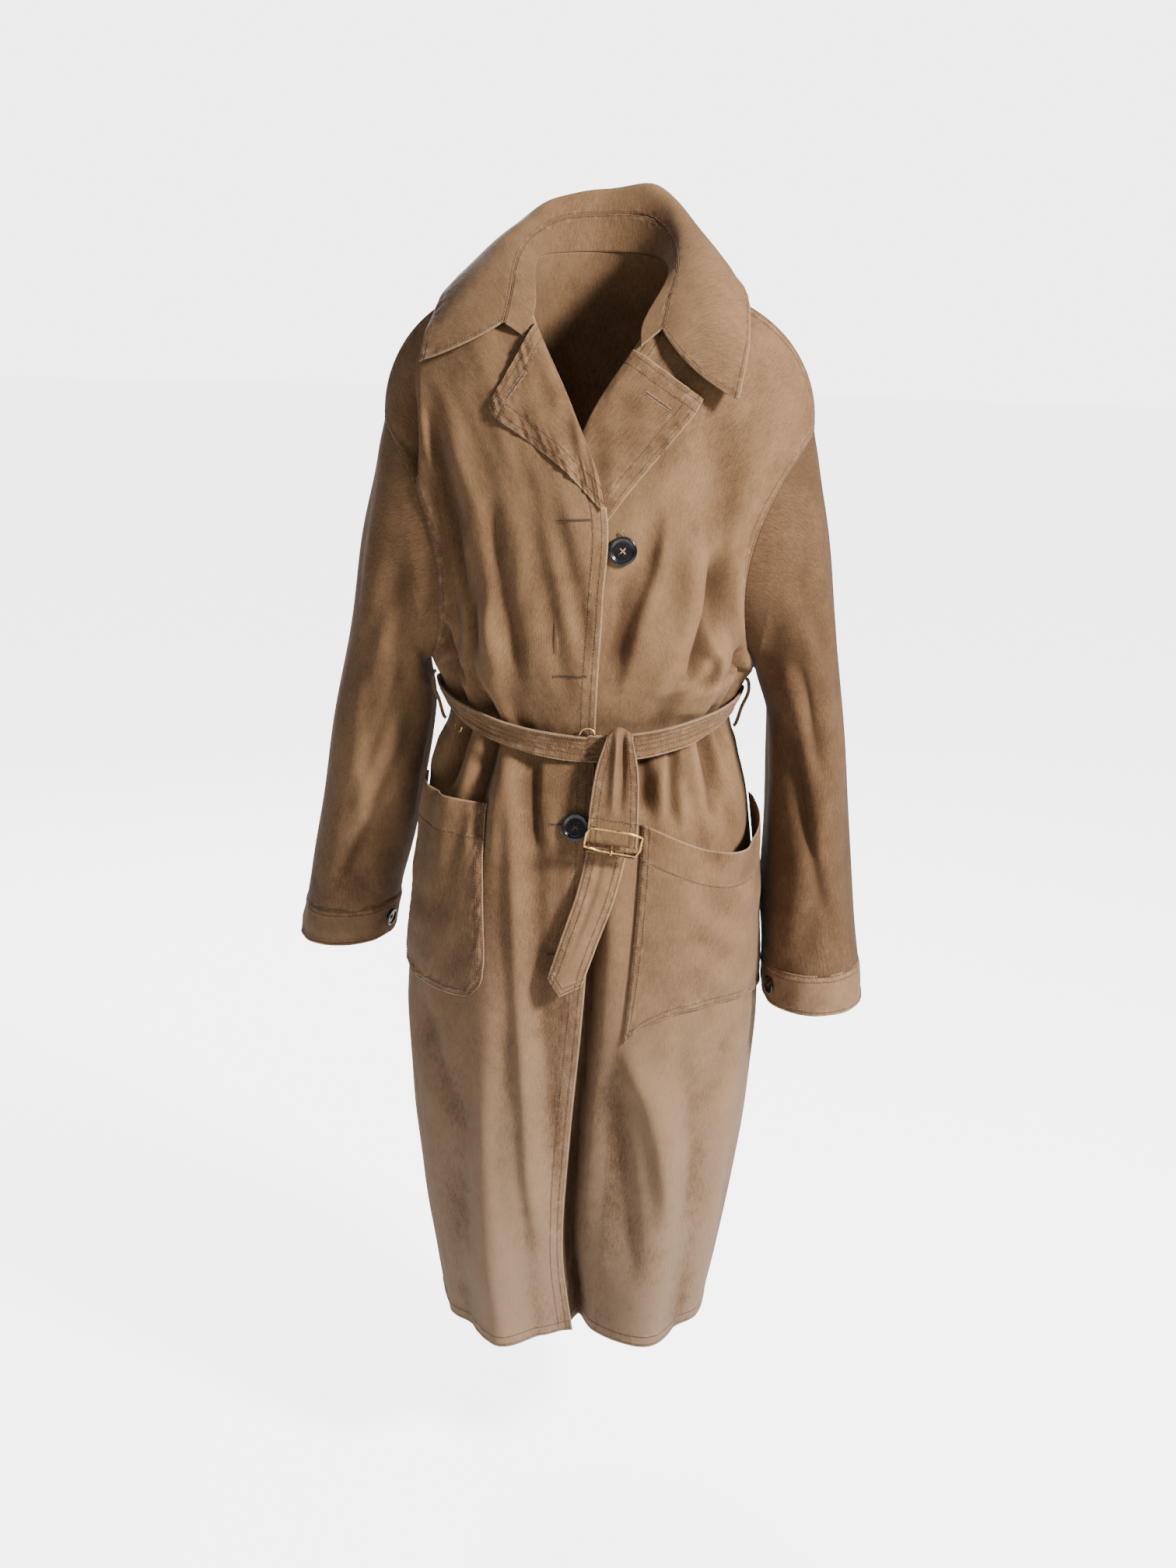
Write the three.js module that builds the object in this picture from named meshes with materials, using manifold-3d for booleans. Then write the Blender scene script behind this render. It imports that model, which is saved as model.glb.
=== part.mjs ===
// A single-breasted, belted trench coat of cotton gabardine, filled out as it is worn.
// Millimetres, +Z up, the front faces -Y, and the wearer's left is +X.
// The origin lies midway between the two points where the shoulder seams meet the neck.
import * as THREE from 'three';
import { mergeVertices } from 'three/addons/utils/BufferGeometryUtils.js';
import Module from 'manifold-3d';

const wasm = await Module();
wasm.setup();

// Driving sizes
const WALL = 1.6; // doubled cotton cloth
const SEAM = 0.3; // gap between pieces that are sewn together
const CUFF_HEIGHT = 42;
const CUFF_STEP = 1.2; // how far a cuff stands out from its sleeve
const BUTTON_RADIUS = 14.5;
const BUTTON_THICKNESS = 4.5;
const CUFF_BUTTON_RADIUS = 10;
const BELT_BAND_HEIGHT = 28; // the belt is folded lengthwise round the waist
const BELT_BAND_THICKNESS = 2.6;
const BELT_END_THICKNESS = 2.2;
const POCKET_WALL = 1.4;
const BUCKLE_WIRE = 1.3; // radius
const BUCKLE_HALF_WIDTH = 28;
const BUCKLE_HEIGHT = 30; // between the middles of its two long bars
const BUCKLE_LEAN = 28; // degrees that it leans forward
const BUCKLE_TILT = 8; // degrees that its bars slope down to the wearer's left

// Rows of the body from the shoulder seam (row 0) through the underarm (row 5) to the hem (row 12).
// Rows 5 to 12: height at the side seam and at the front, half width, front and back depth,
// and how square the section is.
const UNDERARM_ROW = 5;
const WAIST_ROW = 6;
const HEM_ROW = 12;
const BODY = [
  { t: 5, sideZ: -402, frontZ: -400, half: 172, front: -138, back: 120, round: 0.60 },
  { t: 5.5, sideZ: -428, frontZ: -437, half: 159, front: -132, back: 116, round: 0.60 },
  { t: 6, sideZ: -451, frontZ: -470, half: 150, front: -121, back: 108, round: 0.58 },
  { t: 6.5, sideZ: -486, frontZ: -503, half: 158, front: -128, back: 116, round: 0.60 },
  { t: 7, sideZ: -540, frontZ: -550, half: 172, front: -141, back: 126, round: 0.62 },
  { t: 8, sideZ: -650, frontZ: -660, half: 186, front: -150, back: 136, round: 0.62 },
  { t: 9, sideZ: -755, frontZ: -765, half: 194, front: -154, back: 142, round: 0.62 },
  { t: 10, sideZ: -890, frontZ: -895, half: 187, front: -154, back: 142, round: 0.62 },
  { t: 11, sideZ: -1030, frontZ: -1032, half: 169, front: -152, back: 138, round: 0.62 },
  { t: 12, sideZ: -1140, frontZ: -1142, half: 150, front: -150, back: 132, round: 0.62 },
];

// The free edge of each front, from the neck point down the neckline, the roll line and the front.
const EDGE_UPPER = [
  { t: 0, x: -69, y: -24, z: -2 },
  { t: 1, x: -66, y: -61, z: -46 },
  { t: 2, x: -25, y: -98, z: -134 },
  { t: 3, x: 11, y: -134, z: -228 },
  { t: 4, x: 10, y: -138, z: -322 },
  { t: 5, x: 7, y: -138, z: -400 },
  { t: 6, x: 6, y: -121, z: -470 },
  { t: 7, x: 5.5, y: -141, z: -550 },
  { t: 8, x: 5, y: -150, z: -660 },
  { t: 9, x: 0, y: -154, z: -765 },
  { t: 10, x: -9, y: -154, z: -895 },
  { t: 11, x: -14, y: -152, z: -1032 },
  { t: 12, x: -1, y: -150, z: -1142 },
];
const EDGE_UNDER = [
  { t: 0, x: 68, y: -24, z: -4 },
  { t: 1, x: 43, y: -61, z: -60 },
  { t: 2, x: -10, y: -94, z: -146 },
  { t: 3, x: -38, y: -125, z: -240 },
  { t: 4, x: -38, y: -131, z: -322 },
  { t: 5, x: -38, y: -131, z: -400 },
  { t: 6, x: -38, y: -113, z: -470 },
  { t: 7, x: -38, y: -133, z: -550 },
  { t: 8, x: -38, y: -142, z: -660 },
  { t: 9, x: -38, y: -142, z: -765 },
  { t: 10, x: -38, y: -138, z: -895 },
  { t: 11, x: -38, y: -135, z: -1032 },
  { t: 12, x: -34, y: -134, z: -1142 },
];

// How each upper row runs: x of its first Bezier handle, that handle's offset in y and z from the
// front edge, the second handle's offset from the armhole, and the armhole angle that it reaches,
// in degrees from the top. +X is outwards.
const SHOULDER = [
  { t: 0, angle: 14, inX: 152, inY: 4, inZ: -14, outX: 5, outY: -2, outZ: 96 },
  { t: 1, angle: 46, inX: 118, inY: -10, inZ: -16, outX: 0, outY: -18, outZ: 54 },
  { t: 2, angle: 76, inX: 98, inY: -14, inZ: -12, outX: -20, outY: -24, outZ: 24 },
  { t: 3, angle: 104, inX: 88, inY: -8, inZ: -6, outX: -28, outY: -28, outZ: 8 },
  { t: 4, angle: 140, inX: 94, inY: -3, inZ: -2, outX: -18, outY: -46, outZ: 4 },
];
const BACK_SHOULDER = [
  { t: 0, angle: 14, inX: 60, outX: 5, outY: 2, outZ: 96 },
  { t: 1, angle: -34, inX: 84, outX: 4, outY: 24, outZ: 70 },
  { t: 2, angle: -70, inX: 92, outX: -14, outY: 28, outZ: 30 },
  { t: 3, angle: -100, inX: 98, outX: -22, outY: 32, outZ: 10 },
  { t: 4, angle: -138, inX: 100, outX: -14, outY: 48, outZ: 4 },
];
// Centre of the back in the upper rows.
const BACK_CENTRE = [
  { t: 0, y: 68, z: 20 },
  { t: 1, y: 98, z: -52 },
  { t: 2, y: 118, z: -138 },
  { t: 3, y: 128, z: -230 },
  { t: 4, y: 127, z: -324 },
  ...BODY.map(row => ({ t: row.t, y: row.back, z: row.frontZ })),
];

// Armholes: bowed ovals. Centre, half height, half depth, lean of the top outwards, and inward bow.
const ARMHOLES = {
  right: { side: -1, x: 195.5, y: 12, z: -277, high: 125, deep: 84, lean: 26.5, bow: 32 },
  left: { side: 1, x: 198.5, y: 5, z: -277, high: 125, deep: 85, lean: 26.5, bow: 40 },
};

// Sleeve rings down each arm: centre, half width outwards, its rise, half depth and bow.
const SLEEVE_RIGHT = [
  { v: 0, x: 195.5, y: 12, z: -277, lean: 26.5, high: 125, deep: 84, bow: 32 },
  { v: 1, x: 206, y: 17, z: -308, lean: 28, high: 101, deep: 85, bow: 15 },
  { v: 2, x: 211, y: 24, z: -352, lean: 38, high: 74, deep: 83, bow: 5 },
  { v: 3, x: 215, y: 32, z: -415, lean: 48, high: 42, deep: 81, bow: 0 },
  { v: 4, x: 227, y: 41, z: -490, lean: 53, high: 20, deep: 79, bow: 0 },
  { v: 5, x: 240, y: 51, z: -565, lean: 54, high: 8, deep: 77, bow: 0 },
  { v: 6, x: 254, y: 61, z: -632, lean: 53, high: 2, deep: 75, bow: 0 },
  { v: 7, x: 264, y: 68, z: -690, lean: 53, high: -3, deep: 72, bow: 0 },
];
const SLEEVE_LEFT = [
  { v: 0, x: 198.5, y: 5, z: -277, lean: 26.5, high: 125, deep: 85, bow: 40 },
  { v: 1, x: 207, y: 5, z: -308, lean: 29, high: 101, deep: 86, bow: 18 },
  { v: 2, x: 217, y: 3, z: -354, lean: 33, high: 74, deep: 84, bow: 6 },
  { v: 3, x: 225, y: 0, z: -415, lean: 37, high: 43, deep: 82, bow: 0 },
  { v: 4, x: 232, y: -3, z: -490, lean: 42, high: 22, deep: 80, bow: 0 },
  { v: 5, x: 238, y: -8, z: -575, lean: 46, high: 10, deep: 78, bow: 0 },
  { v: 6, x: 243, y: -13, z: -655, lean: 50, high: 4, deep: 75, bow: 0 },
  { v: 7, x: 249.5, y: -18, z: -722, lean: 53, high: 2, deep: 71, bow: 0 },
];
const SLEEVE_ROWS = 7;

// Folds. A positive depth is a trough and a negative one a ridge; s runs over the panel at the
// fold's first and last row, width is a share of the panel, and peak says where it is deepest.
const FOLDS_RIGHT = [
  { name: 'armhole fold', from: 1.2, to: 7.2, s0: 0.86, s1: 0.62, depth: 9, width: 0.07, peak: 0.45 },
  { name: 'chest trough', from: 1.6, to: 6.8, s0: 0.72, s1: 0.43, depth: 10, width: 0.06, peak: 0.72 },
  { name: 'chest ridge', from: 2.4, to: 5.9, s0: 0.60, s1: 0.37, depth: -5, width: 0.06, peak: 0.70 },
  { name: 'breast streak', from: 3.2, to: 6.9, s0: 0.36, s1: 0.26, depth: 5, width: 0.05, peak: 0.75 },
  { name: 'waist gather outer', from: 5.2, to: 7.8, s0: 0.66, s1: 0.72, depth: 8, width: 0.05, peak: 0.40 },
  { name: 'waist gather inner', from: 5.2, to: 7.9, s0: 0.44, s1: 0.53, depth: 8, width: 0.05, peak: 0.42 },
  { name: 'skirt ridge', from: 6.3, to: 13.5, s0: 0.31, s1: 0.32, depth: -9, width: 0.09, peak: 0.55 },
  { name: 'skirt trough', from: 7.4, to: 13.5, s0: 0.20, s1: 0.17, depth: 7, width: 0.07, peak: 0.70 },
  { name: 'skirt side trough', from: 8.6, to: 13.8, s0: 0.56, s1: 0.60, depth: 7, width: 0.09, peak: 0.70 },
];
const FOLDS_LEFT = [
  { name: 'armhole fold', from: 2.2, to: 6.9, s0: 0.84, s1: 0.74, depth: 10, width: 0.06, peak: 0.72 },
  { name: 'shoulder hollow', from: 0.7, to: 4.6, s0: 0.60, s1: 0.72, depth: 6, width: 0.12, peak: 0.50 },
  { name: 'chest trough', from: 2.8, to: 6.8, s0: 0.47, s1: 0.30, depth: 7, width: 0.06, peak: 0.72 },
  { name: 'chest ridge', from: 2.6, to: 5.9, s0: 0.62, s1: 0.53, depth: -5, width: 0.06, peak: 0.70 },
  { name: 'side gather', from: 4.8, to: 6.9, s0: 0.66, s1: 0.60, depth: 7, width: 0.05, peak: 0.62 },
  { name: 'waist trough outer', from: 5.6, to: 7.7, s0: 0.62, s1: 0.70, depth: 8, width: 0.05, peak: 0.40 },
  { name: 'waist trough inner', from: 5.6, to: 7.8, s0: 0.45, s1: 0.47, depth: 8, width: 0.05, peak: 0.40 },
  { name: 'skirt ridge', from: 7.2, to: 13.5, s0: 0.30, s1: 0.40, depth: -8, width: 0.09, peak: 0.62 },
  { name: 'skirt side trough', from: 9.2, to: 13.8, s0: 0.56, s1: 0.62, depth: 8, width: 0.09, peak: 0.60 },
];
// On the back s runs from the right side seam (-1) over the centre (0) to the left one (1).
const FOLDS_BACK = [
  { name: 'yoke trough right', from: 1.4, to: 6.8, s0: -0.70, s1: -0.48, depth: 9, width: 0.07, peak: 0.72 },
  { name: 'yoke trough left', from: 1.6, to: 6.9, s0: 0.66, s1: 0.52, depth: 9, width: 0.07, peak: 0.70 },
  { name: 'blade streak right', from: 2.6, to: 6.8, s0: -0.40, s1: -0.26, depth: 6, width: 0.05, peak: 0.75 },
  { name: 'blade streak left', from: 3.0, to: 6.8, s0: 0.34, s1: 0.20, depth: 7, width: 0.05, peak: 0.74 },
  { name: 'centre streak', from: 3.6, to: 6.9, s0: -0.05, s1: -0.02, depth: 5, width: 0.05, peak: 0.72 },
  { name: 'waist gather right', from: 5.4, to: 8.0, s0: -0.62, s1: -0.68, depth: 8, width: 0.05, peak: 0.40 },
  { name: 'waist gather mid', from: 5.4, to: 8.4, s0: 0.04, s1: 0.10, depth: 8, width: 0.05, peak: 0.36 },
  { name: 'waist gather left', from: 5.4, to: 7.9, s0: 0.70, s1: 0.74, depth: 8, width: 0.05, peak: 0.40 },
  { name: 'skirt trough right', from: 6.4, to: 13.6, s0: -0.36, s1: -0.44, depth: 11, width: 0.09, peak: 0.7 },
  { name: 'skirt trough mid', from: 7.2, to: 13.6, s0: -0.04, s1: 0.02, depth: 9, width: 0.08, peak: 0.72 },
  { name: 'skirt trough left', from: 6.6, to: 13.6, s0: 0.36, s1: 0.44, depth: 11, width: 0.09, peak: 0.70 },
];
// On a sleeve the angle runs from the top (0) over the front (90); half turns, and the fold turns
// from a0 to a1 on its way down.
const FOLDS_SLEEVE = [
  { name: 'underarm drag', from: 0.9, to: 4.6, a0: 118, a1: 62, depth: 8, width: 20, peak: 0.40 },
  { name: 'elbow drag', from: 2.4, to: 5.8, a0: 150, a1: 84, depth: 6, width: 18, peak: 0.50 },
  { name: 'forearm drag', from: 4.4, to: 7.4, a0: 60, a1: 118, depth: 5, width: 18, peak: 0.55 },
  { name: 'back drag', from: 1.2, to: 5.4, a0: 230, a1: 285, depth: 8, width: 20, peak: 0.45 },
  { name: 'back elbow drag', from: 3.4, to: 7.2, a0: 300, a1: 250, depth: 6, width: 18, peak: 0.50 },
];

// Below the last fastened button the two front edges fall back between the skirt's two fronts.
const FRONT_HOLLOW = [
  { t: 7.4, depth: 0 }, { t: 8, depth: 3 }, { t: 9, depth: 10 }, { t: 10, depth: 24 },
  { t: 11, depth: 38 }, { t: 12, depth: 52 },
];
const FRONT_HOLLOW_WIDTH = 44;
const FRONT_HOLLOW_X = -4;

// Collar stations round the neck, from the right front end (-1) to the left one (1): the neckline
// seam, the seam between stand and fall, a point on the roll, and the fall's outer edge.
const COLLAR = [
  { w: -1.0, neck: [-76, -71, -66], stand: [-96, -68, -53], roll: [-136, -70, -76], edge: [-180, -62, -93] },
  { w: -0.86, neck: [-67, -57, -37], stand: [-91, -52, -28], roll: [-132, -48, -36], edge: [-173, -38, -58] },
  { w: -0.66, neck: [-69, -24, -2], stand: [-86, -18, 10], roll: [-120, -12, 6], edge: [-158, 6, -22] },
  { w: -0.46, neck: [-64, 20, 16], stand: [-74, 24, 34], roll: [-96, 32, 40], edge: [-124, 62, 2] },
  { w: -0.22, neck: [-38, 56, 22], stand: [-44, 62, 54], roll: [-55, 80, 72], edge: [-68, 106, 26] },
  { w: 0.0, neck: [0, 69, 24], stand: [0, 76, 60], roll: [0, 96, 84], edge: [0, 122, 34] },
  { w: 0.22, neck: [38, 56, 22], stand: [46, 62, 58], roll: [56, 82, 88], edge: [70, 108, 32] },
  { w: 0.46, neck: [64, 20, 15], stand: [72, 26, 36], roll: [92, 40, 52], edge: [128, 62, 4] },
  { w: 0.66, neck: [68, -24, -4], stand: [76, -20, 6], roll: [108, -14, 13], edge: [145, -4, -15] },
  { w: 0.86, neck: [44, -58, -49], stand: [66, -50, -30], roll: [110, -54, -30], edge: [149, -56, -62] },
  { w: 1.0, neck: [42, -72, -72], stand: [61, -67, -56], roll: [92, -92, -92], edge: [138, -99, -121] },
];

// Lapels from the notch (0) to the break (1): the row of the front's edge where they turn over,
// and the free edge, seen from the front.
const LAPEL_RIGHT = [
  { v: 0, rollT: 1.1, edgeX: -108, edgeZ: -134 },
  { v: 0.12, rollT: 1.24, edgeX: -99, edgeZ: -146 },
  { v: 0.35, rollT: 1.55, edgeX: -68, edgeZ: -166 },
  { v: 0.65, rollT: 2.12, edgeX: -28, edgeZ: -196 },
  { v: 1, rollT: 2.96, edgeX: 6, edgeZ: -229 },
];
const LAPEL_LEFT = [
  { v: 0, rollT: 1.22, edgeX: 104, edgeZ: -122 },
  { v: 0.12, rollT: 1.3, edgeX: 95, edgeZ: -138 },
  { v: 0.35, rollT: 1.48, edgeX: 70, edgeZ: -168 },
  { v: 0.65, rollT: 1.9, edgeX: 38, edgeZ: -206 },
  { v: 1, rollT: 2.5, edgeX: 8, edgeZ: -246 },
];

// Pockets on their panel: share across at the inner and outer edge and the rows of mouth and bottom.
const POCKET_RIGHT = {
  inner: 0.40, innerLow: 0.37, outer: 0.94, mouth: 6.86, mouthSag: 0.05, bottom: 8.84,
  gape: 11, swell: 8, spur: 0,
};
const POCKET_LEFT = {
  inner: 0.30, innerLow: 0.28, outer: 0.93, mouth: 7.02, mouthSag: 0.24, bottom: 8.86,
  gape: 24, swell: 10, spur: 0.16,
};

// Belt ends: the middle of the strip from top to bottom, its width, and its lean from the front.
const FLAP = [
  { u: 0, x: 31, y: -127.4, z: -455.2, width: 34 },
  { u: 0.07, x: 31, y: -131.5, z: -446.5, width: 35 },
  { u: 0.14, x: 30.5, y: -138, z: -448.5, width: 36 },
  { u: 0.25, x: 30, y: -141.5, z: -463, width: 39 },
  { u: 0.5, x: 28.5, y: -149, z: -496, width: 45 },
  { u: 0.75, x: 26.5, y: -158, z: -532, width: 50 },
  { u: 1, x: 25, y: -165, z: -566, width: 51 },
];
const TAIL = [
  { u: 0, x: 28, y: -127.4, z: -483.3, width: 40 },
  { u: 0.25, x: 24, y: -143.5, z: -550, width: 41 },
  { u: 0.5, x: 12, y: -153, z: -612, width: 40 },
  { u: 0.75, x: -6, y: -158, z: -668, width: 38 },
  { u: 1, x: -24, y: -162, z: -724, width: 36 },
];
// The tail's lean in degrees, its crown across and the length of its pointed tip.
const TAIL_SHAPE = { tilt: 14, crown: 2, point: 16 };

const smooth = k => k * k * (3 - 2 * k);
const clamp = (value, low, high) => Math.min(high, Math.max(low, value));
const step = (value, low, high) => smooth(clamp((value - low) / (high - low), 0, 1));

// The value of one column of a table, by a smooth curve through its rows.
function column(rows, name, at, key = 't') {
  let i = 0;
  while (i < rows.length - 2 && rows[i + 1][key] <= at) i += 1;
  const slope = k => {
    const a = rows[Math.max(k - 1, 0)];
    const b = rows[Math.min(k + 1, rows.length - 1)];
    return (b[name] - a[name]) / (b[key] - a[key]);
  };
  const span = rows[i + 1][key] - rows[i][key];
  const k = clamp((at - rows[i][key]) / span, 0, 1);
  const ease = smooth(k);
  return rows[i][name] * (1 - ease) + rows[i + 1][name] * ease
    + span * slope(i) * k * (1 - k) * (1 - k) - span * slope(i + 1) * k * k * (1 - k);
}

// Rows below the armhole as handles of the same two tables.
const bodyHandles = (turn, depth) => BODY.map(row => ({
  t: row.t, angle: turn, inX: row.round * row.half, inY: 0, inZ: 0,
  outX: 0, outY: row.round * row[depth], outZ: 0,
}));
const FRONT_HANDLES = [...SHOULDER, ...bodyHandles(180, 'front')];
const BACK_HANDLES = [...BACK_SHOULDER, ...bodyHandles(-180, 'back')];
const SEAM_Y = 2; // the side seams below the waist

const vec = (x, y, z) => new THREE.Vector3(x, y, z);
const radians = degrees => degrees * Math.PI / 180;

// A point of a bowed oval ring, by its angle from the top over the front.
function ringPoint(ring, side, degrees) {
  const a = radians(degrees);
  const x = ring.x + ring.lean * Math.cos(a) - ring.bow * Math.sin(a) ** 2;
  return vec(side * x, ring.y - ring.deep * Math.sin(a), ring.z + ring.high * Math.cos(a));
}

// Outwards at the armhole seam, for the panels' and the sleeve's edges alike.
function armholeOut(side, degrees) {
  const c = Math.cos(radians(degrees));
  const x = c > 0 ? 0.2 + 0.8 * c : 0.2 * (1 + c);
  return vec(side * x, -Math.sin(radians(degrees)), c > 0 ? 0.15 * c : c).normalize();
}

// The outer end of a row: on the armhole above the underarm, on the side seam below it.
function rowEnd(hole, handles, t) {
  if (t <= UNDERARM_ROW) return ringPoint(hole, hole.side, column(handles, 'angle', t));
  const low = ringPoint(hole, hole.side, 180);
  const share = 1 - step(t, UNDERARM_ROW, UNDERARM_ROW + 0.8);
  return vec(
    hole.side * (column(BODY, 'half', t) + (Math.abs(low.x) - BODY[0].half) * share),
    SEAM_Y + (low.y - SEAM_Y) * share,
    column(BODY, 'sideZ', t) + (low.z - BODY[0].sideZ) * share,
  );
}

function bezier(p0, p1, p2, p3, s) {
  const r = 1 - s;
  return vec(0, 0, 0).addScaledVector(p0, r * r * r).addScaledVector(p1, 3 * r * r * s)
    .addScaledVector(p2, 3 * r * s * s).addScaledVector(p3, s * s * s);
}

function rowHandle(hole, handles, end, t) {
  return vec(
    end.x + hole.side * column(handles, 'outX', t),
    end.y + column(handles, 'outY', t),
    end.z + column(handles, 'outZ', t),
  );
}

// A front without its folds: s runs from its free edge to the armhole or side seam.
function plainFront(panel, s, t) {
  const edge = vec(column(panel.edge, 'x', t), column(panel.edge, 'y', t), column(panel.edge, 'z', t));
  const end = rowEnd(panel.hole, FRONT_HANDLES, t);
  const first = vec(
    panel.hole.side * column(FRONT_HANDLES, 'inX', t),
    column(EDGE_UPPER, 'y', t) + column(FRONT_HANDLES, 'inY', t),
    edge.z + column(FRONT_HANDLES, 'inZ', t),
  );
  return bezier(edge, first, rowHandle(panel.hole, FRONT_HANDLES, end, t), end, s);
}

const FRONTS = {
  right: { edge: EDGE_UPPER, hole: ARMHOLES.right, folds: FOLDS_RIGHT },
  left: { edge: EDGE_UNDER, hole: ARMHOLES.left, folds: FOLDS_LEFT },
};
const NECK_SHARE = 0.36; // share of the back's top row that is neckline
const NECK_STATION = 0.66; // collar station where the shoulder seams meet the neck
const TOP_BLEND = 1.8; // rows over which the back's top row fades into the back

// The top row of the back: half the back neckline, then the shoulder seam.
function backTop(s) {
  const hole = s < 0 ? ARMHOLES.right : ARMHOLES.left;
  const share = Math.abs(s);
  if (share <= NECK_SHARE) {
    return collarLine('neck', hole.side * NECK_STATION * share / NECK_SHARE);
  }
  const along = (share - NECK_SHARE) / (1 - NECK_SHARE);
  return plainFront(s < 0 ? FRONTS.right : FRONTS.left, along, 0).add(vec(0, SEAM, 0));
}

// The back without its folds: s runs from the right side seam (-1) to the left one (1).
function plainBack(s, t) {
  const hole = s < 0 ? ARMHOLES.right : ARMHOLES.left;
  const row = at => {
    const centre = vec(0, column(BACK_CENTRE, 'y', at), column(BACK_CENTRE, 'z', at));
    const end = rowEnd(hole, BACK_HANDLES, at);
    const first = vec(hole.side * column(BACK_HANDLES, 'inX', at), centre.y, centre.z);
    return bezier(centre, first, rowHandle(hole, BACK_HANDLES, end, at), end, Math.abs(s));
  };
  const point = row(t);
  if (t >= TOP_BLEND) return point;
  const share = (1 - t / TOP_BLEND) ** 2;
  return point.addScaledVector(backTop(s).sub(row(0)), share);
}

// How deep the folds are at one place of a panel.
function foldDepth(folds, s, t) {
  return folds.reduce((sum, fold) => {
    const along = (t - fold.from) / (fold.to - fold.from);
    if (along <= 0 || along >= 1) return sum;
    const middle = fold.s0 + (fold.s1 - fold.s0) * along;
    const swell = Math.sin(Math.PI * along ** (Math.log(0.5) / Math.log(fold.peak)));
    return sum + fold.depth * swell * Math.exp(-(((s - middle) / fold.width) ** 2));
  }, 0);
}

// The outward normal of a surface of two parameters, by small steps.
function normalOf(surface, s, t, outward) {
  const d = 0.004;
  const ds = surface(s + d, t).sub(surface(s - d, t));
  const dt = surface(s, t + d).sub(surface(s, t - d));
  return ds.cross(dt).normalize().multiplyScalar(outward);
}

function frontSurface(panel) {
  const plain = (s, t) => plainFront(panel, s, t);
  return (s, t) => {
    const ease = step(s, 0.03, 0.16) * step(1 - s, 0, 0.1);
    const depth = foldDepth(panel.folds, s, t) * ease;
    const point = plain(s, t);
    const hollow = t > FRONT_HOLLOW[0].t ? column(FRONT_HOLLOW, 'depth', t) : 0;
    const inwards = vec(0, hollow * Math.exp(-(((point.x - FRONT_HOLLOW_X) / FRONT_HOLLOW_WIDTH) ** 2)), 0);
    return point.addScaledVector(normalOf(plain, s, t, -panel.hole.side), -depth).add(inwards);
  };
}

function backSurface(s, t) {
  const ease = step(1 - Math.abs(s), 0, 0.1) * step(t, 0, 1.5);
  return plainBack(s, t).addScaledVector(normalOf(plainBack, s, t, 1), -foldDepth(FOLDS_BACK, s, t) * ease);
}

// A wall between an outer and an inner grid of points, closed at its rims. Columns may wrap round.
function wall(outer, inner, wrap = false) {
  const rows = outer.length;
  const cols = outer[0].length;
  const positions = [outer, inner].flatMap(grid => grid.flat().flatMap(p => [p.x, p.y, p.z]));
  const at = (layer, i, j) => layer * rows * cols + i * cols + (j % cols);
  const faces = [];
  const quad = (a, b, c, d) => faces.push([a, b, c], [a, c, d]);
  for (let i = 0; i < rows - 1; i += 1) {
    for (let j = 0; j < (wrap ? cols : cols - 1); j += 1) {
      quad(at(0, i, j), at(0, i, j + 1), at(0, i + 1, j + 1), at(0, i + 1, j));
      quad(at(1, i, j), at(1, i + 1, j), at(1, i + 1, j + 1), at(1, i, j + 1));
    }
  }
  for (let j = 0; j < (wrap ? cols : cols - 1); j += 1) {
    quad(at(0, 0, j), at(1, 0, j), at(1, 0, j + 1), at(0, 0, j + 1));
    quad(at(0, rows - 1, j), at(0, rows - 1, j + 1), at(1, rows - 1, j + 1), at(1, rows - 1, j));
  }
  for (let i = 0; i < rows - 1 && !wrap; i += 1) {
    quad(at(0, i, 0), at(0, i + 1, 0), at(1, i + 1, 0), at(1, i, 0));
    quad(at(0, i, cols - 1), at(1, i, cols - 1), at(1, i + 1, cols - 1), at(0, i + 1, cols - 1));
  }
  return facingOut(positions, faces);
}

// A geometry whose faces point out: they are turned round if they enclose a negative volume.
function facingOut(positions, faces) {
  const corner = k => vec(positions[3 * k], positions[3 * k + 1], positions[3 * k + 2]);
  const volume = faces.reduce((sum, f) => sum + corner(f[0]).dot(corner(f[1]).cross(corner(f[2]))), 0);
  const geometry = new THREE.BufferGeometry();
  geometry.setAttribute('position', new THREE.Float32BufferAttribute(positions, 3));
  geometry.setIndex((volume < 0 ? faces.map(f => [f[0], f[2], f[1]]) : faces).flat());
  geometry.computeVertexNormals();
  return geometry;
}

const spread = (from, to, count) => Array.from(
  { length: count }, (_, k) => from + (to - from) * k / (count - 1),
);
const moved = (grid, directions, distance) => grid.map((row, i) => row.map(
  (p, j) => p.clone().addScaledVector(directions[i][j], distance),
));

// Rows of every panel, closer round the waist.
const ROWS = [...spread(0, 5, 11), ...spread(5.25, 7, 8), ...spread(7.55, HEM_ROW, 9)];
const FRONT_COLUMNS = [...spread(0, 0.9, 13), 0.95, 1];
const EDGE_GAP = 0.15; // half the seam gap, taken off each panel's edge

// Outwards along the shoulder seam, for both panels' edges.
function shoulderOut(panel, s) {
  const along = plainFront(panel, Math.min(s + 0.02, 1), 0).sub(plainFront(panel, Math.max(s - 0.02, 0), 0));
  return vec(-along.z, 0, along.x).multiplyScalar(panel.hole.side).normalize();
}

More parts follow.
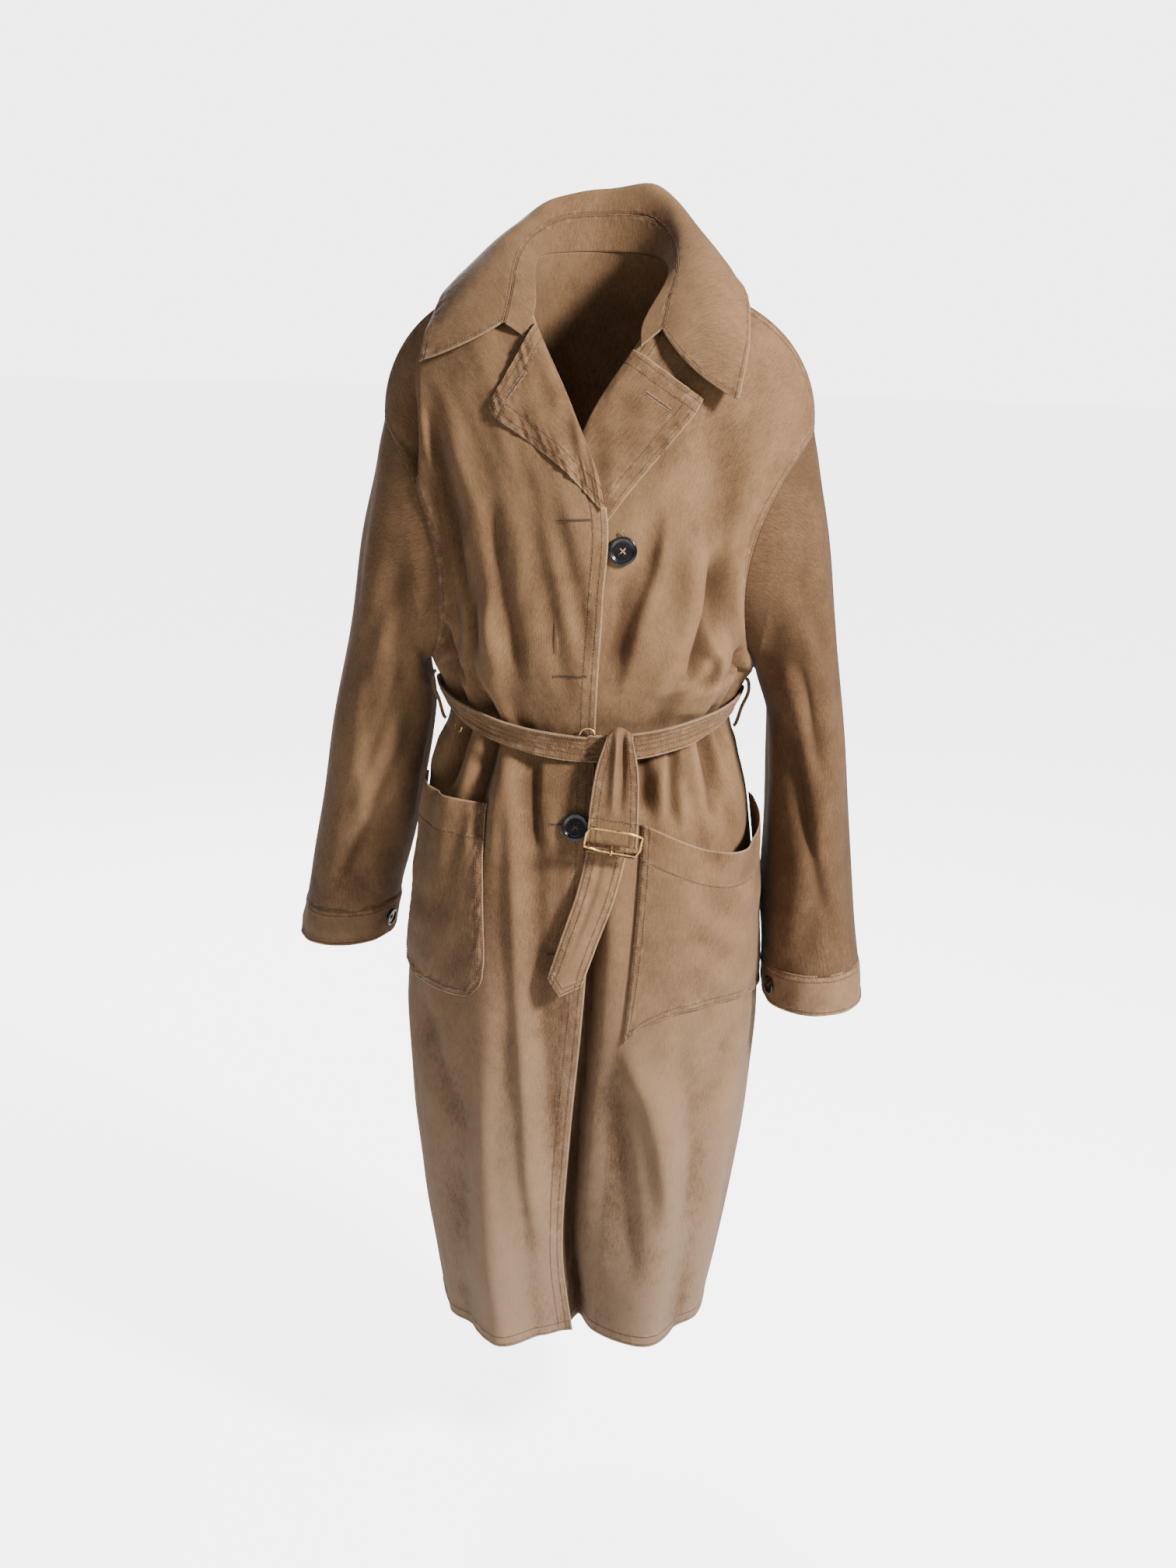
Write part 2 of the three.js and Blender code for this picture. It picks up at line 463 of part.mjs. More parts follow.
function frontPanel(panel) {
  const surface = frontSurface(panel);
  const outer = ROWS.map(t => FRONT_COLUMNS.map(s => surface(s, t)));
  const out = ROWS.map(t => FRONT_COLUMNS.map(s => {
    if (s === 1 && t <= UNDERARM_ROW) return armholeOut(panel.hole.side, column(FRONT_HANDLES, 'angle', t));
    if (t === 0) return shoulderOut(panel, s);
    return normalOf(surface, s, t, -panel.hole.side);
  }));
  outer.forEach(row => {
    const last = row.length - 1;
    row[last].addScaledVector(row[last - 1].clone().sub(row[last]).normalize(), EDGE_GAP);
  });
  return wall(outer, moved(outer, out, -WALL));
}

function backPanel() {
  const columns = [-1, -0.94, ...spread(-0.86, 0.86, 20), 0.94, 1];
  const outer = ROWS.map(t => columns.map(s => backSurface(s, t)));
  const out = ROWS.map(t => columns.map(s => {
    const panel = s < 0 ? FRONTS.right : FRONTS.left;
    const side = panel.hole.side;
    if (Math.abs(s) === 1 && t <= UNDERARM_ROW) return armholeOut(side, column(BACK_HANDLES, 'angle', t));
    if (t === 0 && Math.abs(s) > NECK_SHARE) {
      return shoulderOut(panel, (Math.abs(s) - NECK_SHARE) / (1 - NECK_SHARE));
    }
    return normalOf(backSurface, s, t, 1);
  }));
  outer.forEach(row => [[0, 1], [row.length - 1, row.length - 2]].forEach(([edge, next]) => {
    row[edge].addScaledVector(row[next].clone().sub(row[edge]).normalize(), EDGE_GAP);
  }));
  return wall(outer, moved(outer, out, -WALL));
}

// Sleeves: rings of the table, sampled at the angles where the panels' rows meet the armhole.
const ARM_ROWS = ROWS.filter(t => t <= UNDERARM_ROW);
const ANGLES = [
  ...ARM_ROWS.map(t => column(FRONT_HANDLES, 'angle', t)),
  ...ARM_ROWS.slice(1, -1).map(t => column(BACK_HANDLES, 'angle', t) + 360).reverse(),
];

function sleeveRing(rows, v) {
  return Object.fromEntries(
    ['x', 'y', 'z', 'lean', 'high', 'deep', 'bow'].map(name => [name, column(rows, name, v, 'v')]),
  );
}

function sleeveSurface(rows, side) {
  const plain = (a, v) => ringPoint(sleeveRing(rows, v), side, a);
  const normal = (a, v) => {
    const da = plain(a + 1, v).sub(plain(a - 1, v));
    const dv = plain(a, v + 0.02).sub(plain(a, v - 0.02));
    return dv.cross(da).normalize().multiplyScalar(-side);
  };
  return { normal, at: (a, v) => {
    const folds = FOLDS_SLEEVE.map(fold => ({ ...fold, s0: fold.a0, s1: fold.a1 }));
    return plain(a, v).addScaledVector(normal(a, v), -foldDepth(folds, a, v));
  } };
}

function sleeve(rows, side) {
  const surface = sleeveSurface(rows, side);
  const levels = [0, 0.25, 0.6, ...spread(1.1, SLEEVE_ROWS, 10)];
  const outer = levels.map(v => ANGLES.map(a => surface.at(a, v)));
  const out = levels.map(v => ANGLES.map(a => (v === 0 ? armholeOut(side, a) : surface.normal(a, v))));
  outer[0].forEach((p, j) => {
    const away = outer[1][j].clone().sub(p).normalize().add(vec(side, 0, 0)).normalize();
    p.addScaledVector(away, SEAM + 0.1);
  });
  return wall(outer, moved(outer, out, -WALL), true);
}

function cuff(rows, side) {
  const end = sleeveRing(rows, SLEEVE_ROWS);
  const before = sleeveRing(rows, SLEEVE_ROWS - 0.5);
  const along = vec(side * (end.x - before.x), end.y - before.y, end.z - before.z).normalize();
  const ring = (down, grow) => ANGLES.map(a => ringPoint(
    { ...end, lean: end.lean + grow, deep: end.deep + grow }, side, a,
  ).addScaledVector(along, down));
  const downs = [SEAM, SEAM + 0.5 * CUFF_HEIGHT, CUFF_HEIGHT];
  const grows = [CUFF_STEP - 0.6, CUFF_STEP, CUFF_STEP];
  return wall(downs.map((d, k) => ring(d, grows[k])), downs.map((d, k) => ring(d, grows[k] - WALL)), true);
}

// A line of the collar at station w, and the point of stand (0 to 1) or fall (1 to 2) there.
function collarLine(name, w) {
  const rows = COLLAR.map(row => ({ t: row.w, x: row[name][0], y: row[name][1], z: row[name][2] }));
  return vec(column(rows, 'x', w), column(rows, 'y', w), column(rows, 'z', w));
}

const STAND_START = 1.1; // the stand starts this far off the neckline
function collarPoint(w, u) {
  const stand = collarLine('stand', w);
  if (u <= 1) {
    const neck = collarLine('neck', w);
    const start = STAND_START / neck.distanceTo(stand);
    return neck.lerp(stand, start + (1 - start) * u);
  }
  const edge = collarLine('edge', w);
  const bend = collarLine('roll', w).multiplyScalar(2)
    .addScaledVector(stand, -0.5).addScaledVector(edge, -0.5);
  const k = u - 1;
  return stand.multiplyScalar((1 - k) * (1 - k))
    .addScaledVector(bend, 2 * k * (1 - k)).addScaledVector(edge, k * k);
}

function collarPiece(fromU, toU, count) {
  const stations = spread(-1, 1, 31);
  const shares = spread(fromU, toU, count);
  const under = stations.map(w => shares.map(u => collarPoint(w, u)));
  const out = stations.map((w, i) => shares.map((u, j) => {
    const before = under[Math.max(i - 1, 0)][j];
    const after = under[Math.min(i + 1, stations.length - 1)][j];
    const low = under[i][Math.max(j - 1, 0)];
    const high = under[i][Math.min(j + 1, count - 1)];
    return after.clone().sub(before).cross(high.clone().sub(low)).normalize();
  }));
  return wall(moved(under, out, WALL), under);
}

// The place on a front that lies at (x, z) seen from the front, by Newton's method.
function locate(surface, x, z, s0, t0) {
  let s = s0;
  let t = t0;
  for (let k = 0; k < 12; k += 1) {
    const here = surface(s, t);
    const d = 0.002;
    const ds = surface(s + d, t).sub(here).divideScalar(d);
    const dt = surface(s, t + d).sub(here).divideScalar(d);
    const det = ds.x * dt.z - ds.z * dt.x;
    const ex = x - here.x;
    const ez = z - here.z;
    s = clamp(s + (ex * dt.z - ez * dt.x) / det, 0, 1);
    t = clamp(t + (ez * ds.x - ex * ds.z) / det, 0, HEM_ROW);
  }
  return { s, t };
}

const LAPEL_LIFT = 0.9; // clear of the front that it lies on
const LAPEL_ROLL = 5; // height of the soft roll
function lapel(panel, rows) {
  const plain = (s, t) => plainFront(panel, s, t);
  const across = [0, 0.06, 0.16, 0.3, 0.5, 0.75, 1];
  const under = [];
  const out = [];
  spread(0, 1, 11).forEach(v => {
    const at = name => column(rows, name, v, 'v');
    const roll = plain(0, at('rollT'));
    const places = across.map(u => locate(
      plain, roll.x + (at('edgeX') - roll.x) * u, roll.z + (at('edgeZ') - roll.z) * u,
      0.02 + 0.3 * u, at('rollT'),
    ));
    const normals = places.map(p => normalOf(plain, p.s, p.t, -panel.hole.side));
    const lift = across.map(u => LAPEL_LIFT + LAPEL_ROLL * (1 - v * v) * Math.sin(Math.PI * Math.sqrt(u)));
    under.push(places.map((p, k) => plain(p.s, p.t).addScaledVector(normals[k], lift[k])));
    out.push(normals);
  });
  return wall(moved(under, out, WALL), under);
}

// A pocket lies on its panel, sewn at its sides and bottom and standing off at its mouth.
function pocket(panel, place) {
  const surface = frontSurface(panel);
  const under = [];
  const out = [];
  spread(0, 1, 10).forEach(v => {
    const row = spread(0, 1, 11).map(u => {
      const inner = place.inner + (place.innerLow - place.inner) * v;
      const s = inner + (place.outer - inner) * u;
      const mouth = place.mouth + place.mouthSag * Math.sin(Math.PI * u);
      const t = mouth + (place.bottom + place.spur * (1 - u) ** 6 - mouth) * v;
      const stand = Math.sin(Math.PI * u) ** 0.7 * (1 - v ** 3) ** 0.8;
      const lift = 0.9 + stand * (place.gape * (1 - v) ** 1.5 + place.swell * (1 - (1 - v) ** 1.5));
      const normal = normalOf(surface, s, t, -panel.hole.side);
      return { point: surface(s, t).addScaledVector(normal, lift), normal };
    });
    under.push(row.map(r => r.point));
    out.push(row.map(r => r.normal));
  });
  return wall(moved(under, out, POCKET_WALL), under);
}

// The belt's ring, a lift outside the panels at the waist.
function beltPoint(turn, t, lift) {
  const quarter = Math.floor(turn * 4) % 4;
  const share = turn * 4 - Math.floor(turn * 4);
  const front = quarter === 0 || quarter === 3;
  const side = quarter < 2 ? 1 : -1;
  const s = quarter % 2 === 0 ? share : 1 - share;
  const depth = column(BODY, front ? 'front' : 'back', t);
  const half = column(BODY, 'half', t) + lift;
  const reach = depth + Math.sign(depth) * lift;
  const round = column(BODY, 'round', t);
  const frontZ = column(BODY, 'frontZ', t);
  const sideZ = column(BODY, 'sideZ', t);
  return bezier(
    vec(0, reach, frontZ), vec(side * round * half, reach, frontZ),
    vec(side * half, SEAM_Y + round * (reach - SEAM_Y), sideZ), vec(side * half, SEAM_Y, sideZ), s,
  );
}

const BELT_LIFT = 1.5; // clear of the panels
const BELT_TURNS = spread(0, 1, 49).slice(0, -1);
function beltBand() {
  const half = BELT_BAND_HEIGHT / 2 / (BODY[1].frontZ - BODY[2].frontZ) / 2;
  const rows = spread(WAIST_ROW - half, WAIST_ROW + half, 3);
  const grid = lift => rows.map(t => BELT_TURNS.map(turn => beltPoint(turn, t, lift)));
  return wall(grid(BELT_LIFT + BELT_BAND_THICKNESS), grid(BELT_LIFT), true);
}

// A flat strip along a table of its middle, as wide as the table says.
function strip(rows, thickness, levels, shape) {
  const middle = u => vec(column(rows, 'x', u, 'u'), column(rows, 'y', u, 'u'), column(rows, 'z', u, 'u'));
  const front = [];
  const back = [];
  levels.forEach(u => {
    const along = middle(Math.min(u + 0.02, 1)).sub(middle(Math.max(u - 0.02, 0)));
    const tilt = shape.tilt * u;
    const across = vec(Math.cos(radians(tilt)), 0, -Math.sin(radians(tilt)));
    const out = along.clone().cross(across).normalize();
    if (out.y > 0) out.negate();
    const width = column(rows, 'width', u, 'u');
    const row = spread(-0.5, 0.5, 5).map(k => {
      const drop = shape.point ? shape.point * (1 - Math.abs(k) * 2) * step(u, 0.99, 1) : 0;
      return middle(u).addScaledVector(across, k * width).addScaledVector(out, shape.crown * (1 - 4 * k * k))
        .addScaledVector(along.clone().normalize(), drop);
    });
    front.push(row.map(p => p.clone().addScaledVector(out, thickness / 2)));
    back.push(row.map(p => p.clone().addScaledVector(out, -thickness / 2)));
  });
  return wall(front, back);
}

// A solid of the joining library from a closed geometry, and back.
function toSolid(geometry) {
  const clean = geometry.clone();
  clean.deleteAttribute('normal');
  clean.deleteAttribute('uv');
  const merged = mergeVertices(clean, 1e-4);
  return new wasm.Manifold(new wasm.Mesh({
    numProp: 3,
    vertProperties: new Float32Array(merged.attributes.position.array),
    triVerts: new Uint32Array(merged.index.array),
  }));
}
function toGeometry(solid) {
  const mesh = solid.getMesh();
  const geometry = new THREE.BufferGeometry();
  geometry.setAttribute('position', new THREE.BufferAttribute(mesh.vertProperties, 3));
  geometry.setIndex(new THREE.BufferAttribute(mesh.triVerts, 1));
  geometry.computeVertexNormals();
  return geometry;
}

// The buckle's own frame: +X along its bars, +Z up along it, +Y to the back, origin on its lower bar.
const BUCKLE_BAR = vec(25, -165, -567);
const buckleTurn = new THREE.Euler(0, radians(BUCKLE_TILT), 0);
const EYE_INNER = BUCKLE_WIRE + 0.5;
const EYE_OUTER = EYE_INNER + 1.5;
const SLOT_WIDTH = 6;
const SLOT_DEPTH = 16;
const SLOT_HEIGHT = 14;
const FLAP_END_WIDTH = 51;
const CORNER_RADIUS = 3;
const BUCKLE_SIDES = 10;

// A round rod along a line of points, closed on itself or with flat ends.
function rod(points, radius, sides, up, closed = false) {
  const count = points.length;
  const positions = [];
  const faces = [];
  points.forEach((p, i) => {
    const after = points[closed ? (i + 1) % count : Math.min(i + 1, count - 1)];
    const before = points[closed ? (i + count - 1) % count : Math.max(i - 1, 0)];
    const along = after.clone().sub(before).normalize();
    const across = along.clone().cross(up).normalize();
    const over = across.clone().cross(along);
    for (let j = 0; j < sides; j += 1) {
      const a = Math.PI * 2 * j / sides;
      const q = p.clone().addScaledVector(across, radius * Math.cos(a));
      q.addScaledVector(over, radius * Math.sin(a));
      positions.push(q.x, q.y, q.z);
    }
  });
  const at = (i, j) => (i % count) * sides + (j % sides);
  for (let i = 0; i < (closed ? count : count - 1); i += 1) {
    for (let j = 0; j < sides; j += 1) {
      faces.push([at(i, j), at(i + 1, j), at(i + 1, j + 1)], [at(i, j), at(i + 1, j + 1), at(i, j + 1)]);
    }
  }
  for (let j = 1; j < sides - 1 && !closed; j += 1) {
    faces.push([at(0, 0), at(0, j), at(0, j + 1)]);
    faces.push([at(count - 1, 0), at(count - 1, j + 1), at(count - 1, j)]);
  }
  return facingOut(positions, faces);
}

// A rectangle with round corners in the XZ plane, standing on its lower side at the origin.
function roundedRectangle(halfWidth, height, corner) {
  const arcs = [
    [halfWidth - corner, corner, -90], [halfWidth - corner, height - corner, 0],
    [corner - halfWidth, height - corner, 90], [corner - halfWidth, corner, 180],
  ];
  return arcs.flatMap(([x, z, from]) => [0, 45, 90].map(
    a => vec(x + corner * Math.cos(radians(from + a)), 0, z + corner * Math.sin(radians(from + a))),
  ));
}

// Places a geometry of the buckle's own frame in the coat.
const inBuckle = new THREE.Matrix4().makeRotationFromEuler(buckleTurn).setPosition(BUCKLE_BAR);

function buckleFrame() {
  const points = roundedRectangle(BUCKLE_HALF_WIDTH, BUCKLE_HEIGHT, CORNER_RADIUS)
    .map(p => p.applyAxisAngle(vec(1, 0, 0), radians(BUCKLE_LEAN)).applyMatrix4(inBuckle));
  const out = vec(0, -1, 0).applyAxisAngle(vec(1, 0, 0), radians(BUCKLE_LEAN));
  return rod(points, BUCKLE_WIRE, BUCKLE_SIDES, out.transformDirection(inBuckle), true);
}

const PRONG_WIRE = 1;
const PRONG_LENGTH = 27;
const PRONG_LEAN = -26; // degrees: it rests behind the belt end
const PRONG_PLAY = 0.35; // between its eye and the bar
const PRONG_EYE = BUCKLE_WIRE + PRONG_PLAY + PRONG_WIRE; // radius of the middle of its eye
const PRONG_SIDES = 8;
// The prong is one wire: nearly a full turn round the bar, then a straight pin.
function buckleProng() {
  const turn = spread(-150, 150, 15).map(a => vec(
    0, PRONG_EYE * Math.sin(radians(a)), -PRONG_EYE * Math.cos(radians(a)),
  ));
  const start = PRONG_EYE + PRONG_WIRE;
  const pin = [0.25, 0.6, 1].map(k => vec(0, 0.4 * (1 - k), start + (PRONG_LENGTH - start) * k));
  const points = [...turn, ...pin]
    .map(p => p.applyAxisAngle(vec(1, 0, 0), radians(PRONG_LEAN)).applyMatrix4(inBuckle));
  return rod(points, PRONG_WIRE, PRONG_SIDES, vec(1, 0, 0).transformDirection(inBuckle));
}

// A disc's edge, drawn out along the buckle's lower bar.
function barCylinder(radius, length) {
  const round = new THREE.Shape();
  round.absarc(0, 0, radius, 0, Math.PI * 2);
  const outline = new THREE.Shape(round.getPoints(10).slice(0, -1));
  return new THREE.ExtrudeGeometry(outline, { depth: length, bevelEnabled: false, steps: 1 })
    .translate(0, 0, -length / 2).rotateY(Math.PI / 2).applyMatrix4(inBuckle);
}

// The belt's buckle end: a strip whose end is folded round the buckle's lower bar, with a slot
// for the prong.
const FLAP_LEVELS = [0, 0.035, 0.07, 0.105, 0.14, 0.19, ...spread(0.25, 1, 8)];
function beltFlap() {
  const shape = { tilt: BUCKLE_TILT, crown: 0 };
  const cloth = toSolid(strip(FLAP, BELT_END_THICKNESS, FLAP_LEVELS, shape));
  const eye = toSolid(barCylinder(EYE_OUTER, FLAP_END_WIDTH));
  const hole = toSolid(barCylinder(EYE_INNER, FLAP_END_WIDTH + SLOT_WIDTH));
  const slot = new THREE.BoxGeometry(SLOT_WIDTH, SLOT_DEPTH, SLOT_HEIGHT).translate(0, 0, 1.5);
  return toGeometry(cloth.add(eye).subtract(hole).subtract(toSolid(slot.applyMatrix4(inBuckle))));
}

// A sewn button: a dished disc with a raised rim, its face along +Z before it is placed.
function button(radius, thickness, sides) {
  const profile = [
    [0, 0], [radius * 0.62, 0], [radius * 0.96, thickness * 0.4], [radius, thickness * 0.7],
    [radius * 0.9, thickness], [radius * 0.76, thickness * 0.94], [radius * 0.66, thickness * 0.66],
    [0, thickness * 0.6],
  ].map(([r, h]) => new THREE.Vector2(r, h));
  return new THREE.LatheGeometry(profile, sides).rotateX(Math.PI / 2);
}

// A button's place: its back a little off the cloth, its face along the cloth's outward direction.
function placeButton(geometry, point, out, lift) {
  const turn = new THREE.Quaternion().setFromUnitVectors(vec(0, 0, 1), out);
  return geometry.applyMatrix4(new THREE.Matrix4().makeRotationFromQuaternion(turn))
    .translate(...point.clone().addScaledVector(out, lift).toArray());
}

const BUTTON_SIDES = 24;
function buttonOn(panel, x, z, guessS, guessT, lift) {
  const plain = (s, t) => plainFront(panel, s, t);
  const place = locate(plain, x, z, guessS, guessT);
  const out = normalOf(plain, place.s, place.t, -panel.hole.side);
  const point = frontSurface(panel)(place.s, place.t);
  return placeButton(button(BUTTON_RADIUS, BUTTON_THICKNESS, BUTTON_SIDES), point, out, lift);
}

const CUFF_BUTTON_DOWN = 20; // below the cuff's seam
const CUFF_BUTTON_THICKNESS = 3.6;
const CUFF_BUTTON_SIDES = 16;
const CUFF_BUTTON_SINK = 0.6;
function cuffButton(rows, side, angle) {
  const end = sleeveRing(rows, SLEEVE_ROWS);
  const outside = { ...end, lean: end.lean + CUFF_STEP, deep: end.deep + CUFF_STEP };
  const point = ringPoint(outside, side, angle);
  const out = sleeveSurface(rows, side).normal(angle, SLEEVE_ROWS - 0.05);
  const before = sleeveRing(rows, SLEEVE_ROWS - 0.5);
  const along = vec(side * (end.x - before.x), end.y - before.y, end.z - before.z).normalize();
  point.addScaledVector(along, CUFF_BUTTON_DOWN);
  const disc = button(CUFF_BUTTON_RADIUS, CUFF_BUTTON_THICKNESS, CUFF_BUTTON_SIDES);
  return placeButton(disc, point, out, -CUFF_BUTTON_SINK);
}

// A thread loop that stands off the side seam and holds the belt.
const LOOP_RADIUS = 1.3;
function beltLoop(side) {
  const points = spread(0, 1, 11).map(k => {
    const bulge = Math.sin(Math.PI * k) ** 0.6;
    return beltPoint(side > 0 ? 0.25 : 0.75, WAIST_ROW - 0.5 + k, 2 + 9 * bulge);
  });
  return rod(points, LOOP_RADIUS, 8, vec(0, 1, 0));
}

// A small wire ring of which an arc stands clear of the belt's edge.
const RING_WIRE = 0.9;
const RING_RADIUS = 8;
const RING_LIFT = 5.2; // of the side ring's wire from the body
const SIDE_RING_TURN = 0.83;
const SIDE_RING_ROW = 6.2;
function ringArc(centre, radius, from, to, out) {
  const across = vec(0, 0, 1).cross(out).normalize();
  const points = spread(from, to, 9).map(a => centre.clone()
    .addScaledVector(across, radius * Math.cos(radians(a)))
    .add(vec(0, 0, radius * Math.sin(radians(a)))));
  return rod(points, RING_WIRE, 8, out);
}

const CLOTH = { color: 0x9a7a55, roughness: 0.85, metalness: 0 };
const BRASS = { color: 0xc9a35a, roughness: 0.3, metalness: 1 };
const BUTTON = { color: 0x0c0c10, roughness: 0.2, metalness: 0 };
const coat = new THREE.Group();
function add(name, geometry, finish) {
  const mesh = new THREE.Mesh(geometry, new THREE.MeshStandardMaterial(finish));
  mesh.name = name;
  coat.add(mesh);
}

add('front_right', frontPanel(FRONTS.right), CLOTH);
add('front_left', frontPanel(FRONTS.left), CLOTH);
add('back', backPanel(), CLOTH);
add('sleeve_right', sleeve(SLEEVE_RIGHT, -1), CLOTH);
add('sleeve_left', sleeve(SLEEVE_LEFT, 1), CLOTH);
add('cuff_right', cuff(SLEEVE_RIGHT, -1), CLOTH);
add('cuff_left', cuff(SLEEVE_LEFT, 1), CLOTH);
add('collar_stand', collarPiece(0, 0.98, 3), CLOTH);
add('collar_fall', collarPiece(1.005, 2, 7), CLOTH);
add('lapel_right', lapel(FRONTS.right, LAPEL_RIGHT), CLOTH);
add('lapel_left', lapel(FRONTS.left, LAPEL_LEFT), CLOTH);
add('pocket_right', pocket(FRONTS.right, POCKET_RIGHT), CLOTH);
add('pocket_left', pocket(FRONTS.left, POCKET_LEFT), CLOTH);
add('belt_band', beltBand(), CLOTH);
add('belt_flap', beltFlap(), CLOTH);
add('belt_tail', strip(TAIL, BELT_END_THICKNESS, spread(0, 1, 13), TAIL_SHAPE), CLOTH);
add('buckle_frame', buckleFrame(), BRASS);
add('buckle_prong', buckleProng(), BRASS);
const sideRing = beltPoint(SIDE_RING_TURN, SIDE_RING_ROW, RING_LIFT);
const sideRingOut = beltPoint(SIDE_RING_TURN, SIDE_RING_ROW, RING_LIFT + 1).sub(sideRing).normalize();
add('belt_ring_front', ringArc(vec(-2, -128, -456), RING_RADIUS, 8, 172, vec(0, -1, 0)), BRASS);
add('belt_ring_side', ringArc(sideRing, RING_RADIUS, 188, 352, sideRingOut), BRASS);
add('belt_loop_right', beltLoop(-1), CLOTH);
add('belt_loop_left', beltLoop(1), CLOTH);
add('button_top', buttonOn(FRONTS.left, 27.5, -268, 0.2, 3.4, -0.6), BUTTON);
add('button_waist', buttonOn(FRONTS.right, -11.5, -548, 0.06, 7, 0.4), BUTTON);
add('button_cuff_right', cuffButton(SLEEVE_RIGHT, -1, 152), BUTTON);
add('button_cuff_left', cuffButton(SLEEVE_LEFT, 1, 152), BUTTON);

export default coat;
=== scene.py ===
"""A belted cotton trench coat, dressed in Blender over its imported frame.

Lengths are millimetres in the tables and metres in Blender. +Z is up, the front faces -Y and the
wearer's left is +X. The origin lies midway between the points where the shoulder seams meet the neck.
"""

import logging
import math
from collections.abc import Callable
from dataclasses import dataclass, field
from enum import Enum

import bpy
import numpy as np
from mathutils import Matrix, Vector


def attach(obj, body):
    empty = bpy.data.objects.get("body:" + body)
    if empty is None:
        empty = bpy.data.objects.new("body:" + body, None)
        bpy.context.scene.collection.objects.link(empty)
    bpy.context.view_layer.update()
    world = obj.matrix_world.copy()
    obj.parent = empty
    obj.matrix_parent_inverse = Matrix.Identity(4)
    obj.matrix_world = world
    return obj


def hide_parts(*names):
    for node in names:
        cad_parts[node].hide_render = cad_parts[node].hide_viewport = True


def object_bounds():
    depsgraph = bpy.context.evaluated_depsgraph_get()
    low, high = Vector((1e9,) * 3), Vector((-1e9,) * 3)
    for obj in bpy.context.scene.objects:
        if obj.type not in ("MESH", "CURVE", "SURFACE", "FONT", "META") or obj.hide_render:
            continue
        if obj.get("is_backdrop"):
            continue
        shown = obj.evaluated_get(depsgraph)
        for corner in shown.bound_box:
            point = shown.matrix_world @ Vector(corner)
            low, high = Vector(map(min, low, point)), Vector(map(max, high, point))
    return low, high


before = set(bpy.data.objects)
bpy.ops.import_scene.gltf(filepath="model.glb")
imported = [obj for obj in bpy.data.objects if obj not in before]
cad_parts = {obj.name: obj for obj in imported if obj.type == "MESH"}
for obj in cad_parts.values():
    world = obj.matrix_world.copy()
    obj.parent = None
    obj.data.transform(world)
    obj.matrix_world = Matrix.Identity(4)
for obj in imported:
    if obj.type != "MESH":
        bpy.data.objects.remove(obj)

LOG = logging.getLogger("trench_coat")
MM = 0.001
Array = np.ndarray
Socket = bpy.types.NodeSocket
Input = bpy.types.NodeSocket | float | tuple


class Edge(Enum):
    """The edges of a piece of cloth, by the names that its points keep them under."""

    LEFT = "left"
    RIGHT = "right"
    TOP = "top"
    BOTTOM = "bottom"


SIDES = (Edge.LEFT, Edge.RIGHT)
SEWN_EDGES = (Edge.LEFT, Edge.RIGHT, Edge.BOTTOM)


@dataclass(frozen=True)
class Table:
    """Rows of named columns, read along a smooth curve through the rows; the first is the key."""

    names: str
    rows: tuple

    def column(self, name: str) -> Array:
        """One column as an array."""
        return np.array(self.rows, float)[:, self.names.split().index(name)]

    def at(self, name: str, where: Array) -> Array:
        """Cubic Hermite curve through a column.

        Each span blends its two rows by the smooth step, plus the two end slopes, each of which is
        the slope between the rows on either side.

        Args:
            name: The column.
            where: Places along the key column.

        Returns:
            The column's value at each place.
        """
        keys, values = self.column(self.names.split()[0]), self.column(name)
        before = np.r_[0, 0 : len(keys) - 1]
        after = np.r_[1 : len(keys), len(keys) - 1]
        slopes = (values[after] - values[before]) / (keys[after] - keys[before])
        where = np.clip(np.asarray(where, float), keys[0], keys[-1])
        i = np.clip(np.searchsorted(keys, where, side="right") - 1, 0, len(keys) - 2)
        span = keys[i + 1] - keys[i]
        k = (where - keys[i]) / span
        blend = smooth(k)
        curve = slopes[i] * k * (1 - k) ** 2 - slopes[i + 1] * k * k * (1 - k)
        return values[i] * (1 - blend) + values[i + 1] * blend + span * curve


def smooth(k: Array) -> Array:
    """The smooth step of a share from 0 to 1: three times its square less twice its cube."""
    return k * k * (3 - 2 * k)


def step(value: Array, low: float, high: float) -> Array:
    """A smooth rise from 0 at low to 1 at high."""
    return smooth(np.clip((value - low) / (high - low), 0, 1))


def points(x: Array, y: Array, z: Array) -> Array:
    """Three coordinates, spread to one shape, as an array of points."""
    return np.stack(np.broadcast_arrays(x, y, z), -1).astype(float)


def unit(vectors: Array) -> Array:
    """Vectors at length 1."""
    return vectors / np.maximum(np.linalg.norm(vectors, axis=-1, keepdims=True), 1e-9)


def bezier(p0: Array, p1: Array, p2: Array, p3: Array, s: Array) -> Array:
    """A cubic Bezier curve: the four points weighted by the Bernstein polynomials of s."""
    s = np.asarray(s)[..., None]
    r = 1 - s
    return p0 * r**3 + p1 * 3 * r * r * s + p2 * 3 * r * s * s + p3 * s**3


def unevenness(u: Array, v: Array, seed: int, wave: float, terms: int = 6) -> Array:
    """A soft, uneven height between about -1 and 1.

    The sum of sine waves in seeded directions, each a little shorter than the last, divided by
    the root of their number.

    Args:
        u, v: The place on the cloth, in millimetres.
        seed: Chooses the directions and phases.
        wave: The longest wave, in millimetres.
        terms: The number of waves.
    """
    chance = np.random.default_rng(seed)
    total = np.zeros(np.broadcast(u, v).shape)
    for k in range(terms):
        turn, phase = chance.random(2) * 2 * math.pi
        length = wave * (1 - 0.08 * k) * (0.7 + 0.6 * chance.random())
        along = u * math.cos(turn) + v * math.sin(turn)
        total += np.sin(2 * math.pi * along / length + phase + 1.5 * np.sin(v / wave + k))
    return total / math.sqrt(terms)


